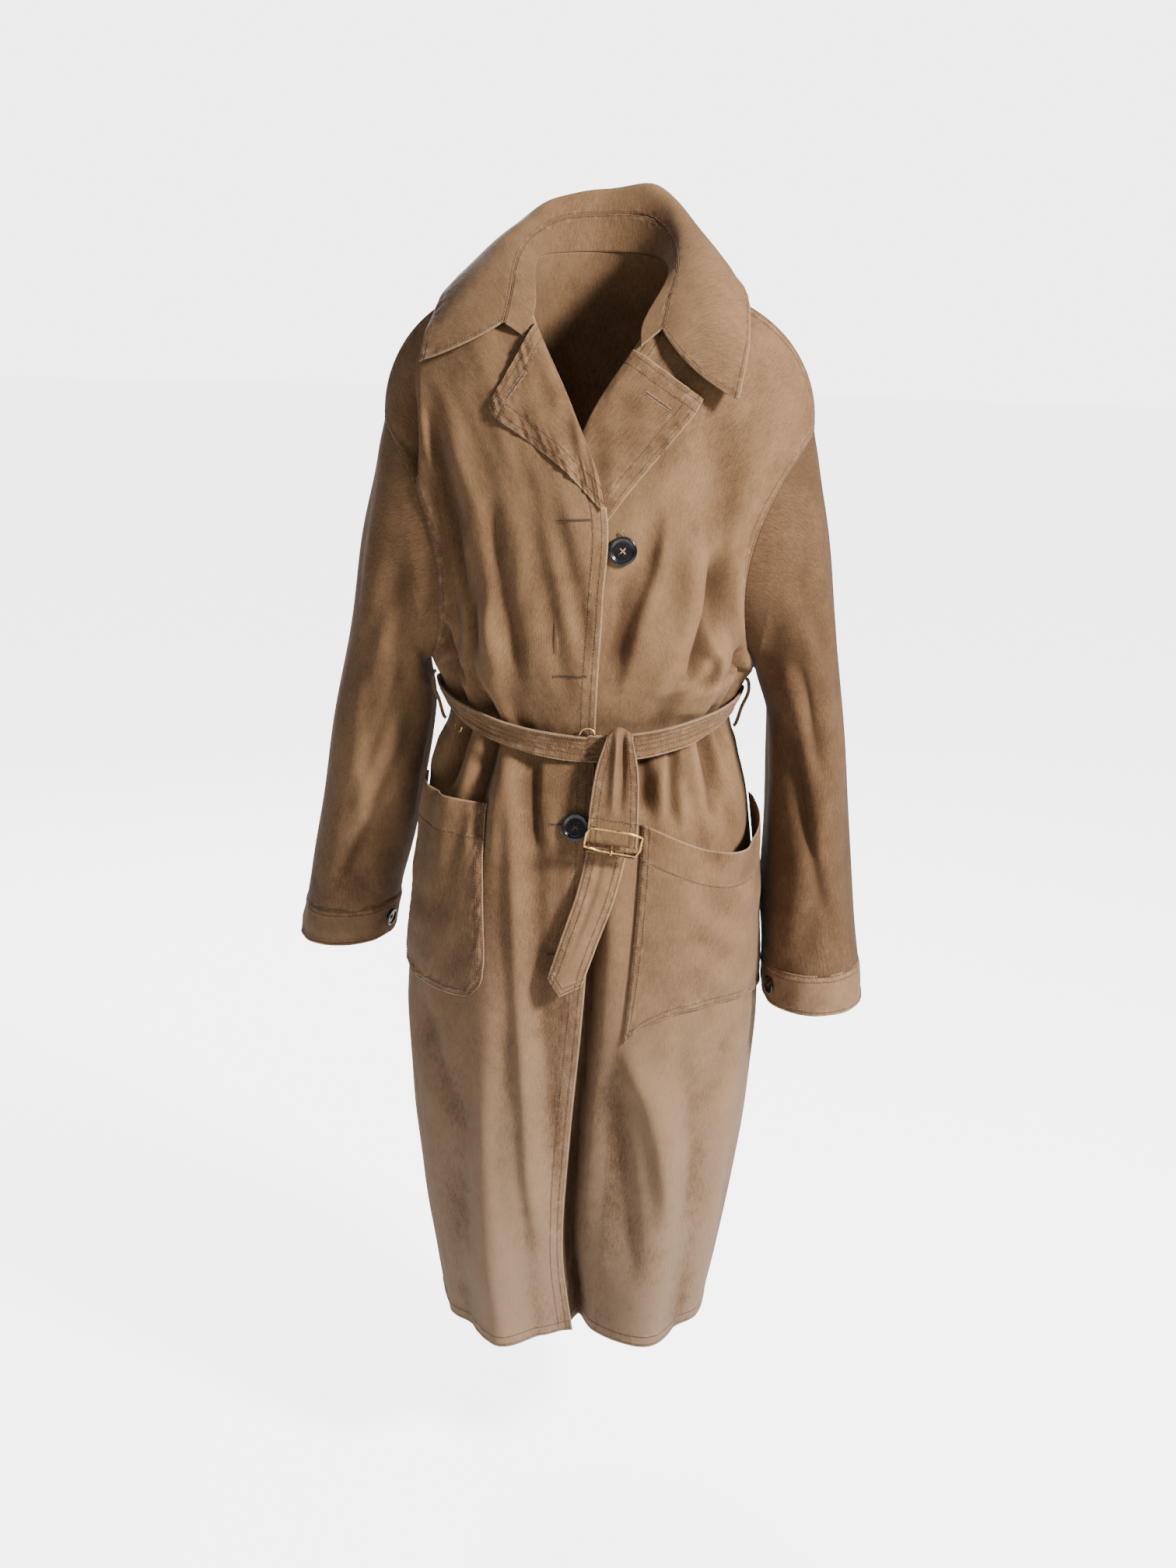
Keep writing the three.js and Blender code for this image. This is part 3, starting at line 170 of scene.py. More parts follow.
# Driving sizes, as the solids have them
WALL = 1.6
SEAM = 0.3
POCKET_WALL = 1.4
CUFF_HEIGHT = 42
CUFF_STEP = 1.2
BELT_BAND_HEIGHT = 28
BELT_BAND_THICKNESS = 2.6
BELT_END_THICKNESS = 2.2
BELT_LIFT = 1.5
BUTTON_RADIUS = 14.5
BUTTON_THICKNESS = 4.5
CUFF_BUTTON_RADIUS = 10
CUFF_BUTTON_THICKNESS = 3.6
BUCKLE_WIRE = 1.3
BUCKLE_HALF_WIDTH = 28
BUCKLE_HEIGHT = 30
BUCKLE_LEAN = 28
BUCKLE_TILT = 8
BUCKLE_BAR = (25, -165, -567)
UNDERARM_ROW = 5
WAIST_ROW = 6
HEM_ROW = 12
SLEEVE_ROWS = 7
SEAM_Y = 2
BODY = Table("t sideZ frontZ half front back round", (
    (5, -402, -400, 172, -138, 120, 0.60),
    (5.5, -428, -437, 159, -132, 116, 0.60),
    (6, -451, -470, 150, -121, 108, 0.58),
    (6.5, -486, -503, 158, -128, 116, 0.60),
    (7, -540, -550, 172, -141, 126, 0.62),
    (8, -650, -660, 186, -150, 136, 0.62),
    (9, -755, -765, 194, -154, 142, 0.62),
    (10, -890, -895, 187, -154, 142, 0.62),
    (11, -1030, -1032, 169, -152, 138, 0.62),
    (12, -1140, -1142, 150, -150, 132, 0.62),
))
EDGE_UPPER = Table("t x y z", (
    (0, -69, -24, -2),
    (1, -66, -61, -46),
    (2, -25, -98, -134),
    (3, 11, -134, -228),
    (4, 10, -138, -322),
    (5, 7, -138, -400),
    (6, 6, -121, -470),
    (7, 5.5, -141, -550),
    (8, 5, -150, -660),
    (9, 0, -154, -765),
    (10, -9, -154, -895),
    (11, -14, -152, -1032),
    (12, -1, -150, -1142),
))
EDGE_UNDER = Table("t x y z", (
    (0, 68, -24, -4),
    (1, 43, -61, -60),
    (2, -10, -94, -146),
    (3, -38, -125, -240),
    (4, -38, -131, -322),
    (5, -38, -131, -400),
    (6, -38, -113, -470),
    (7, -38, -133, -550),
    (8, -38, -142, -660),
    (9, -38, -142, -765),
    (10, -38, -138, -895),
    (11, -38, -135, -1032),
    (12, -34, -134, -1142),
))
SHOULDER = Table("t angle inX inY inZ outX outY outZ", (
    (0, 14, 152, 4, -14, 5, -2, 96),
    (1, 46, 118, -10, -16, 0, -18, 54),
    (2, 76, 98, -14, -12, -20, -24, 24),
    (3, 104, 88, -8, -6, -28, -28, 8),
    (4, 140, 94, -3, -2, -18, -46, 4),
))
BACK_SHOULDER = Table("t angle inX outX outY outZ", (
    (0, 14, 60, 5, 2, 96),
    (1, -34, 84, 4, 24, 70),
    (2, -70, 92, -14, 28, 30),
    (3, -100, 98, -22, 32, 10),
    (4, -138, 100, -14, 48, 4),
))
BACK_CENTRE = Table("t y z", (
    (0, 68, 20),
    (1, 98, -52),
    (2, 118, -138),
    (3, 128, -230),
    (4, 127, -324),
))
SLEEVE_RIGHT = Table("v x y z lean high deep bow", (
    (0, 195.5, 12, -277, 26.5, 125, 84, 32),
    (1, 206, 17, -308, 28, 101, 85, 15),
    (2, 211, 24, -352, 38, 74, 83, 5),
    (3, 215, 32, -415, 48, 42, 81, 0),
    (4, 227, 41, -490, 53, 20, 79, 0),
    (5, 240, 51, -565, 54, 8, 77, 0),
    (6, 254, 61, -632, 53, 2, 75, 0),
    (7, 264, 68, -690, 53, -3, 72, 0),
))
SLEEVE_LEFT = Table("v x y z lean high deep bow", (
    (0, 198.5, 5, -277, 26.5, 125, 85, 40),
    (1, 207, 5, -308, 29, 101, 86, 18),
    (2, 217, 3, -354, 33, 74, 84, 6),
    (3, 225, 0, -415, 37, 43, 82, 0),
    (4, 232, -3, -490, 42, 22, 80, 0),
    (5, 238, -8, -575, 46, 10, 78, 0),
    (6, 243, -13, -655, 50, 4, 75, 0),
    (7, 249.5, -18, -722, 53, 2, 71, 0),
))
FOLDS_RIGHT = Table("from to s0 s1 depth width peak", (
    (1.2, 7.2, 0.86, 0.62, 9, 0.07, 0.45),  # armhole fold
    (1.6, 6.8, 0.72, 0.43, 10, 0.06, 0.72),  # chest trough
    (2.4, 5.9, 0.60, 0.37, -5, 0.06, 0.70),  # chest ridge
    (3.2, 6.9, 0.36, 0.26, 5, 0.05, 0.75),  # breast streak
    (5.2, 7.8, 0.66, 0.72, 8, 0.05, 0.40),  # waist gather outer
    (5.2, 7.9, 0.44, 0.53, 8, 0.05, 0.42),  # waist gather inner
    (6.3, 13.5, 0.31, 0.32, -9, 0.09, 0.55),  # skirt ridge
    (7.4, 13.5, 0.20, 0.17, 7, 0.07, 0.70),  # skirt trough
    (8.6, 13.8, 0.56, 0.60, 7, 0.09, 0.70),  # skirt side trough
))
FOLDS_LEFT = Table("from to s0 s1 depth width peak", (
    (2.2, 6.9, 0.84, 0.74, 10, 0.06, 0.72),  # armhole fold
    (0.7, 4.6, 0.60, 0.72, 6, 0.12, 0.50),  # shoulder hollow
    (2.8, 6.8, 0.47, 0.30, 7, 0.06, 0.72),  # chest trough
    (2.6, 5.9, 0.62, 0.53, -5, 0.06, 0.70),  # chest ridge
    (4.8, 6.9, 0.66, 0.60, 7, 0.05, 0.62),  # side gather
    (5.6, 7.7, 0.62, 0.70, 8, 0.05, 0.40),  # waist trough outer
    (5.6, 7.8, 0.45, 0.47, 8, 0.05, 0.40),  # waist trough inner
    (7.2, 13.5, 0.30, 0.40, -8, 0.09, 0.62),  # skirt ridge
    (9.2, 13.8, 0.56, 0.62, 8, 0.09, 0.60),  # skirt side trough
))
FOLDS_BACK = Table("from to s0 s1 depth width peak", (
    (1.4, 6.8, -0.70, -0.48, 9, 0.07, 0.72),  # yoke trough right
    (1.6, 6.9, 0.66, 0.52, 9, 0.07, 0.70),  # yoke trough left
    (2.6, 6.8, -0.40, -0.26, 6, 0.05, 0.75),  # blade streak right
    (3.0, 6.8, 0.34, 0.20, 7, 0.05, 0.74),  # blade streak left
    (3.6, 6.9, -0.05, -0.02, 5, 0.05, 0.72),  # centre streak
    (5.4, 8.0, -0.62, -0.68, 8, 0.05, 0.40),  # waist gather right
    (5.4, 8.4, 0.04, 0.10, 8, 0.05, 0.36),  # waist gather mid
    (5.4, 7.9, 0.70, 0.74, 8, 0.05, 0.40),  # waist gather left
    (6.4, 13.6, -0.36, -0.44, 11, 0.09, 0.7),  # skirt trough right
    (7.2, 13.6, -0.04, 0.02, 9, 0.08, 0.72),  # skirt trough mid
    (6.6, 13.6, 0.36, 0.44, 11, 0.09, 0.70),  # skirt trough left
))
FOLDS_SLEEVE = Table("from to a0 a1 depth width peak", (
    (0.9, 4.6, 118, 62, 8, 20, 0.40),  # underarm drag
    (2.4, 5.8, 150, 84, 6, 18, 0.50),  # elbow drag
    (4.4, 7.4, 60, 118, 5, 18, 0.55),  # forearm drag
    (1.2, 5.4, 230, 285, 8, 20, 0.45),  # back drag
    (3.4, 7.2, 300, 250, 6, 18, 0.50),  # back elbow drag
))
FRONT_HOLLOW = Table("t depth", (
    (7.4, 0),
    (8, 3),
    (9, 10),
    (10, 24),
    (11, 38),
    (12, 52),
))
COLLAR = Table("w neck stand roll edge", (
    (-1.0, (-76, -71, -66), (-96, -68, -53), (-136, -70, -76), (-180, -62, -93)),
    (-0.86, (-67, -57, -37), (-91, -52, -28), (-132, -48, -36), (-173, -38, -58)),
    (-0.66, (-69, -24, -2), (-86, -18, 10), (-120, -12, 6), (-158, 6, -22)),
    (-0.46, (-64, 20, 16), (-74, 24, 34), (-96, 32, 40), (-124, 62, 2)),
    (-0.22, (-38, 56, 22), (-44, 62, 54), (-55, 80, 72), (-68, 106, 26)),
    (0.0, (0, 69, 24), (0, 76, 60), (0, 96, 84), (0, 122, 34)),
    (0.22, (38, 56, 22), (46, 62, 58), (56, 82, 88), (70, 108, 32)),
    (0.46, (64, 20, 15), (72, 26, 36), (92, 40, 52), (128, 62, 4)),
    (0.66, (68, -24, -4), (76, -20, 6), (108, -14, 13), (145, -4, -15)),
    (0.86, (44, -58, -49), (66, -50, -30), (110, -54, -30), (149, -56, -62)),
    (1.0, (42, -72, -72), (61, -67, -56), (92, -92, -92), (138, -99, -121)),
))
LAPEL_RIGHT = Table("v rollT edgeX edgeZ", (
    (0, 1.1, -108, -134),
    (0.12, 1.24, -99, -146),
    (0.35, 1.55, -68, -166),
    (0.65, 2.12, -28, -196),
    (1, 2.96, 6, -229),
))
LAPEL_LEFT = Table("v rollT edgeX edgeZ", (
    (0, 1.22, 104, -122),
    (0.12, 1.3, 95, -138),
    (0.35, 1.48, 70, -168),
    (0.65, 1.9, 38, -206),
    (1, 2.5, 8, -246),
))
FLAP = Table("u x y z width", (
    (0, 31, -127.4, -455.2, 34),
    (0.07, 31, -131.5, -446.5, 35),
    (0.14, 30.5, -138, -448.5, 36),
    (0.25, 30, -141.5, -463, 39),
    (0.5, 28.5, -149, -496, 45),
    (0.75, 26.5, -158, -532, 50),
    (1, 25, -165, -566, 51),
))
TAIL = Table("u x y z width", (
    (0, 28, -127.4, -483.3, 40),
    (0.25, 24, -143.5, -550, 41),
    (0.5, 12, -153, -612, 40),
    (0.75, -6, -158, -668, 38),
    (1, -24, -162, -724, 36),
))
STAND_LAP = 2.2
NECK_SHARE = 0.36
NECK_STATION = 0.66
TOP_BLEND = 1.8
FRONT_HOLLOW_X = -4
FRONT_HOLLOW_WIDTH = 44
LAPEL_LIFT = 0.9
LAPEL_ROLL = 5
CUFF_BUTTON_DOWN = 20
RING_WIRE = 0.9
RING_RADIUS = 8
RING_LIFT = 5.2
TOP_BUTTON = (27.5, -268.0)
WAIST_BUTTON = (-11.5, -548.0)
BUTTONHOLE_HEIGHTS = (-239.0, -394.0, -546.0, -683.0)
BUTTONHOLE_SPAN = (-37, -3)
FAR = 400.0
HANDLES = "t angle inX inY inZ outX outY outZ"


def with_body(shoulder: Table, turn: float, depth: str) -> Table:
    """The rows above the underarm, continued down the body as Bezier handles of its sections.

    Args:
        shoulder: The upper rows' handles.
        turn: The armhole angle at the underarm, in degrees.
        depth: The body's column for this side, front or back.
    """
    upper = [[float(shoulder.at(n, row[0])) if n in shoulder.names.split() else 0.0
              for n in HANDLES.split()] for row in shoulder.rows]
    lower = []
    for row in BODY.rows:
        named = dict(zip(BODY.names.split(), row))
        reach = named["round"]
        lower.append([named["t"], turn, reach * named["half"], 0, 0, 0, reach * named[depth], 0])
    return Table(HANDLES, tuple(map(tuple, upper + lower)))


FRONT_HANDLES = with_body(SHOULDER, 180, "front")
BACK_HANDLES = with_body(BACK_SHOULDER, -180, "back")
BACK_MIDDLE = Table("t y z", BACK_CENTRE.rows + tuple((r[0], r[5], r[2]) for r in BODY.rows))


@dataclass(frozen=True)
class Ring:
    """A bowed oval ring: centre, half width and its rise, half depth, and inward bow."""

    x: Array
    y: Array
    z: Array
    lean: Array
    high: Array
    deep: Array
    bow: Array

    def at(self, side: int, degrees: Array) -> Array:
        """A point by its angle from the top over the front: cosine times the half width and its
        rise, sine times the depth, less the bow times the squared sine."""
        a = np.radians(degrees)
        x = self.x + self.lean * np.cos(a) - self.bow * np.sin(a) ** 2
        return points(side * x, self.y - self.deep * np.sin(a), self.z + self.high * np.cos(a))


ARMHOLE_RIGHT = Ring(x=195.5, y=12, z=-277, lean=26.5, high=125, deep=84, bow=32)
ARMHOLE_LEFT = Ring(x=198.5, y=5, z=-277, lean=26.5, high=125, deep=85, bow=40)


def armhole(side: int) -> Ring:
    """The armhole of the wearer's right (-1) or left (1) side."""
    return ARMHOLE_RIGHT if side < 0 else ARMHOLE_LEFT


def row_end(side: int, handles: Table, t: Array) -> Array:
    """The outer end of each row: on the armhole above the underarm, on the side seam below it."""
    hole = armhole(side)
    low = hole.at(side, 180.0)
    share = 1 - step(t, UNDERARM_ROW, UNDERARM_ROW + 0.8)
    first = dict(zip(BODY.names.split(), BODY.rows[0]))
    seam = points(
        side * (BODY.at("half", t) + (abs(low[0]) - first["half"]) * share),
        SEAM_Y + (low[1] - SEAM_Y) * share,
        BODY.at("sideZ", t) + (low[2] - first["sideZ"]) * share,
    )
    above = (np.asarray(t) <= UNDERARM_ROW)[..., None]
    return np.where(above, hole.at(side, handles.at("angle", t)), seam)


def row_handle(side: int, handles: Table, end: Array, t: Array) -> Array:
    """The Bezier handle next to a row's outer end."""
    return end + points(side * handles.at("outX", t), handles.at("outY", t), handles.at("outZ", t))


def fold_depth(folds: Table, s: Array, t: Array) -> Array:
    """How deep the solid's folds are: a bell across each fold times a half sine along it."""
    total = np.zeros(np.broadcast(s, t).shape)
    for low, high, s0, s1, depth, width, peak in folds.rows:
        along = np.clip((t - low) / (high - low), 0, 1)
        middle = s0 + (s1 - s0) * along
        swell = np.sin(math.pi * along ** (math.log(0.5) / math.log(peak)))
        total += depth * swell * np.exp(-(((s - middle) / width) ** 2))
    return total


@dataclass(frozen=True)
class Crease:
    """A crease laid along points seen from the front, as (x, z) or across as (x, z) rows.

    A positive depth is a hollow. Skew makes one flank steeper, and lip raises the cloth beside it.
    """

    name: str
    depth: float
    width: float
    skew: float
    lip: float
    path: tuple
    level: bool = False

    def height(self, x: Array, z: Array) -> Array:
        """Height over the cloth: minus the depth times a bell across the path, whose flanks differ
        by the skew, plus a lip beside it, faded by a smooth step at both ends.

        Args:
            x, z: Places seen from the front, in millimetres.
        """
        key, other = (x, z) if self.level else (-z, x)
        pairs = [(p[0], p[1]) if self.level else (-p[1], p[0]) for p in self.path]
        line = Table("key value", tuple(sorted(pairs)))
        low, high = line.rows[0][0], line.rows[-1][0]
        reach = 0.3 * (high - low)
        slope = (line.at("value", key + 4) - line.at("value", key - 4)) / 8
        off = (other - line.at("value", key)) / np.sqrt(1 + slope**2)
        flank = self.width * np.where(off < 0, 1 + 1.6 * self.skew, 1 - 1.6 * self.skew)
        q = off / flank
        side = -1.0 if self.skew < 0 else 1.0
        bell = np.exp(-(q**2)) - self.lip * np.exp(-(((q + side * 1.9) / 0.9) ** 2))
        fade = step(key, low, low + reach) * (1 - step(key, high - reach, high))
        return -self.depth * bell * fade


def crease_height(creases: tuple, x: Array, z: Array) -> Array:
    """The creases' heights added up."""
    return sum((c.height(x, z) for c in creases), np.zeros(np.broadcast(x, z).shape))


def across(surface: Callable, u: Array, v: Array, du: float, dv: float) -> Array:
    """The unit cross product of a surface's two slopes, by small steps."""
    along_u = surface(u + du, v) - surface(u - du, v)
    along_v = surface(u, v + dv) - surface(u, v - dv)
    return unit(np.cross(along_u, along_v))


@dataclass(frozen=True)
class Front:
    """One front of the coat: s runs from its free edge to the armhole or side seam."""

    side: int
    edge: Table
    folds: Table
    creases: tuple
    seed: int

    def plain(self, s: Array, t: Array) -> Array:
        """The front without folds: a Bezier curve along each row."""
        edge = points(*(self.edge.at(n, t) for n in "xyz"))
        end = row_end(self.side, FRONT_HANDLES, t)
        first = points(
            self.side * FRONT_HANDLES.at("inX", t),
            EDGE_UPPER.at("y", t) + FRONT_HANDLES.at("inY", t),
            edge[..., 2] + FRONT_HANDLES.at("inZ", t),
        )
        return bezier(edge, first, row_handle(self.side, FRONT_HANDLES, end, t), end, s)

    def normal(self, s: Array, t: Array) -> Array:
        """Outwards from the front without folds."""
        return across(self.plain, s, t, 0.004, 0.004) * -self.side

    def surface(self, s: Array, t: Array) -> Array:
        """The solid's outer face: the plain front less its folds, hollowed at the skirt's opening."""
        point = self.plain(s, t)
        ease = step(s, 0.03, 0.16) * step(1 - s, 0, 0.1)
        depth = fold_depth(self.folds, s, t) * ease
        bell = np.exp(-(((point[..., 0] - FRONT_HOLLOW_X) / FRONT_HOLLOW_WIDTH) ** 2))
        hollow = FRONT_HOLLOW.at("depth", t) * bell
        return point - self.normal(s, t) * depth[..., None] + points(0, hollow, 0)

    def dressed(self, s: Array, t: Array) -> Array:
        """The solid's outer face with the creases of the cloth.

        They fade at the seams, and may not stand out under the belt.
        """
        s, t = np.broadcast_arrays(np.asarray(s, float), np.asarray(t, float))
        point = self.surface(s, t)
        height = 1.75 * crease_height(self.creases, point[..., 0], point[..., 2])
        loose = step(t, 0.1, 1.2) * step(s, 0.0, 0.07) * step(1 - s, 0.0, 0.07)
        calm = 1 - 0.45 * step(t, 6.4, 7.5)
        height = height + 1.4 * calm * unevenness(s * 290, t * 26, self.seed, 95)
        height = height + 0.35 * unevenness(s * 290, t * 30, self.seed + 50, 34)
        height = height * loose
        belt = 1 - step(np.abs(t - WAIST_ROW + 0.15), 0.4, 0.7)
        height = np.where(height > 0, height * (1 - belt), height)
        return point + self.normal(s, t) * height[..., None]


def collar_line(name: str, w: Array) -> Array:
    """One of the collar's lines, by its station round the neck."""
    rows = COLLAR.rows
    column = COLLAR.names.split().index(name)
    table = Table("w x y z", tuple((row[0], *row[column]) for row in rows))
    return points(*(table.at(n, w) for n in "xyz"))


@dataclass(frozen=True)
class Back:
    """The back: s runs from the right side seam (-1) over the centre (0) to the left one (1)."""

    fronts: tuple
    folds: Table
    creases: tuple
    seed: int

    def top(self, side: int, s: Array) -> Array:
        """The top row: half the back neckline, then the shoulder seam."""
        share = np.abs(s)
        neck = collar_line("neck", side * NECK_STATION * np.minimum(share / NECK_SHARE, 1))
        front = self.fronts[0] if side < 0 else self.fronts[1]
        along = np.clip((share - NECK_SHARE) / (1 - NECK_SHARE), 0, 1)
        shoulder = front.plain(along, np.zeros_like(along)) + points(0, SEAM, 0)
        return np.where((share <= NECK_SHARE)[..., None], neck, shoulder)

    def half(self, side: int, s: Array, t: Array) -> Array:
        """One half without folds: a Bezier curve along each row, blended into the top row."""
        def row(at: Array) -> Array:
            """One row from the centre to the seam."""
            centre = points(0, BACK_MIDDLE.at("y", at), BACK_MIDDLE.at("z", at))
            end = row_end(side, BACK_HANDLES, at)
            first = centre + points(side * BACK_HANDLES.at("inX", at), 0, 0)
            handle = row_handle(side, BACK_HANDLES, end, at)
            return bezier(centre, first, handle, end, np.abs(s))
        share = np.clip(1 - t / TOP_BLEND, 0, 1) ** 2
        return row(t) + (self.top(side, s) - row(np.zeros_like(t))) * share[..., None]

    def plain(self, s: Array, t: Array) -> Array:
        """The back without folds."""
        s, t = np.broadcast_arrays(np.asarray(s, float), np.asarray(t, float))
        return np.where((s < 0)[..., None], self.half(-1, s, t), self.half(1, s, t))

    def normal(self, s: Array, t: Array) -> Array:
        """Outwards from the back without folds."""
        return across(self.plain, s, t, 0.004, 0.004)

    def dressed(self, s: Array, t: Array) -> Array:
        """The solid's outer face with the creases of the cloth, faded at the seams."""
        s, t = np.broadcast_arrays(np.asarray(s, float), np.asarray(t, float))
        ease = step(1 - np.abs(s), 0, 0.1) * step(t, 0, 1.5)
        normal = self.normal(s, t)
        point = self.plain(s, t) - normal * (fold_depth(self.folds, s, t) * ease)[..., None]
        height = 1.5 * crease_height(self.creases, point[..., 0], point[..., 2])
        height = height + 1.5 * unevenness(s * 290, t * 26, self.seed, 95)
        height = height + 0.35 * unevenness(s * 290, t * 30, self.seed + 50, 34)
        height = height * step(1 - np.abs(s), 0, 0.06) * step(t, 0.1, 1.2)
        belt = 1 - step(np.abs(t - WAIST_ROW + 0.15), 0.4, 0.7)
        height = np.where(height > 0, height * (1 - belt), height)
        return point + normal * height[..., None]


@dataclass(frozen=True)
class Sleeve:
    """A sleeve: v runs down its rings, and the angle runs from the top (0) over the front (90)."""

    side: int
    rings: Table
    folds: Table
    seed: int

    def ring(self, v: Array) -> Ring:
        """The ring at each place down the arm."""
        return Ring(*(self.rings.at(n, v) for n in ("x", "y", "z", "lean", "high", "deep", "bow")))

    def along(self) -> Array:
        """The direction down the arm at the sleeve's end."""
        end, before = self.ring(np.array(float(SLEEVE_ROWS))), self.ring(SLEEVE_ROWS - 0.5)
        return unit(points(self.side * (end.x - before.x), end.y - before.y, end.z - before.z))

    def plain(self, a: Array, v: Array) -> Array:
        """The sleeve without folds."""
        return self.ring(v).at(self.side, a)

    def normal(self, a: Array, v: Array) -> Array:
        """Outwards from the sleeve without folds."""
        return across(self.plain, a, v, 1.0, 0.02) * self.side

    def dressed(self, a: Array, v: Array) -> Array:
        """The sleeve with the solid's folds and its own smaller creases, faded at both ends."""
        a, v = np.broadcast_arrays(np.asarray(a, float), np.asarray(v, float))
        turn = np.mod(a, 360)
        depth = fold_depth(FOLDS_SLEEVE, turn, v) * (1 - step(v, 6.2, 6.95))
        ease = step(v, 0.1, 0.9) * (1 - step(v, 6.5, 7.0))
        finer = 0.85 * fold_depth(self.folds, turn, v) * ease
        ripple = np.cos(np.radians(turn)) * 70, np.sin(np.radians(turn)) * 70
        soft = unevenness(ripple[0] + v * 30, ripple[1] + v * 16, self.seed, 110) * 1.3 * ease
        return self.plain(a, v) + self.normal(a, v) * (soft - depth - finer)[..., None]


RIGHT_CREASES = (
    Crease("armhole fold", 9, 11, 0.3, 0.3, (
            (-189, -56), (-190, -137), (-186, -284), (-179, -313), (-152, -379), (-140, -411))),
    Crease("armhole fold inner", 7, 9, -0.3, 0.4, (
            (-176, -108), (-164, -180), (-137, -266), (-119, -354), (-113, -428))),
    Crease("breast ridge", -5, 14, 0, 0, ((-132, -223), (-122, -315), (-105, -366), (-88, -419))),
    Crease("breast hollow", 4, 13, 0.2, 0.2, ((-106, -206), (-95, -296), (-78, -373), (-68, -431))),
    Crease("pull to the buttonhole", 2.5, 10, 0, 0.3, ((-51, -202), (-32, -258), (-10, -339), (-2, -401))),
    Crease("soft streak", 2.5, 12, 0, 0.2, ((-76, -160), (-57, -263), (-35, -355), (-23, -441))),
    Crease("side tuck", 6, 7, 0.3, 0.3, ((-156, -353), (-143, -390), (-129, -421))),
    Crease("waist pleat a", 6, 7, 0.3, 0.4, ((-125, -446), (-139, -505), (-155, -538))),
    Crease("waist pleat b", 5, 7, -0.3, 0.4, ((-102, -447), (-107, -492), (-114, -547), (-116, -601))),
    Crease("waist pleat c", 4, 8, 0.3, 0.3, ((-53, -467), (-55, -523), (-50, -585))),
    Crease("long skirt ridge", -6, 15, -0.2, 0, (
            (-81, -457), (-76, -526), (-71, -633), (-65, -723), (-61, -772), (-54, -861), (-49, -956),
            (-33, -1021), (-13, -1065))),
    Crease("long skirt hollow", 4.5, 16, 0.1, 0.0, (
            (-67, -463), (-58, -532), (-51, -632), (-46, -728), (-37, -831), (-30, -938),
            (-20, -1029))),
    Crease("placket pull", 1.2, 8, 0, 0.3, ((-23, -506), (-28, -593), (-27, -693), (-19, -831))),
    Crease("lower hollow", 4, 20, 0, 0.2, ((-116, -746), (-120, -843), (-122, -952), (-118, -1071))),
    Crease("hip hollow", 3, 14, 0, 0.2, ((-84, -740), (-86, -836), (-88, -926), (-83, -1053))),
    Crease("side drag", 3, 12, 0, 0.3, ((-171, -741), (-156, -821), (-130, -900))),
)
LEFT_CREASES = (
    Crease("armhole fold", 8, 10, -0.3, 0.4, ((118, -261), (117, -326), (108, -369), (95, -421))),
    Crease("shoulder hollow", 5, 22, 0, 0.0, ((103, -96), (121, -156), (127, -216), (117, -276))),
    Crease("chest valley", 6, 12, 0.3, 0.3, ((64, -215), (57, -279), (40, -333), (21, -426))),
    Crease("chest ridge", -4, 13, 0, 0, ((107, -230), (102, -291), (93, -334), (72, -437))),
    Crease("button pull", 2.5, 10, 0, 0.3, ((32, -276), (26, -338), (17, -400))),
    Crease("side gather a", 5, 6, -0.3, 0.4, ((151, -367), (143, -398), (123, -415))),
    Crease("side gather b", 5, 6, 0.3, 0.4, ((129, -372), (126, -397), (113, -418))),
    Crease("waist pleat a", 6, 7, 0.2, 0.4, ((87, -448), (89, -505), (94, -564))),
    Crease("waist pleat b", 5, 6, -0.2, 0.4, ((55, -456), (57, -507), (60, -545))),
    Crease("waist pleat c", 6, 8, 0.3, 0.4, ((116, -438), (129, -489), (140, -563))),
    Crease("waist ridge", -4, 9, 0, 0, ((72, -448), (75, -496), (78, -558))),
    Crease("below pocket ridge", -6, 16, -0.3, 0, (
            (45, -769), (54, -812), (72, -857), (87, -920), (98, -1013))),
    Crease("below pocket hollow", 6, 18, 0.3, 0.0, (
            (35, -768), (36, -829), (47, -900), (60, -1009), (65, -1093))),
    Crease("side hollow", 4, 18, 0, 0.2, ((108, -772), (119, -836), (127, -928), (123, -1038))),
    Crease("hip drag", 3, 12, 0, 0.3, ((160, -770), (149, -827), (134, -885))),
    Crease("opening hollow", 15, 8.5, 0, 0,
           ((11, -430), (10, -660), (7, -765), (-2, -895), (-7, -1032), (6, -1135), (7, -1400))),
)
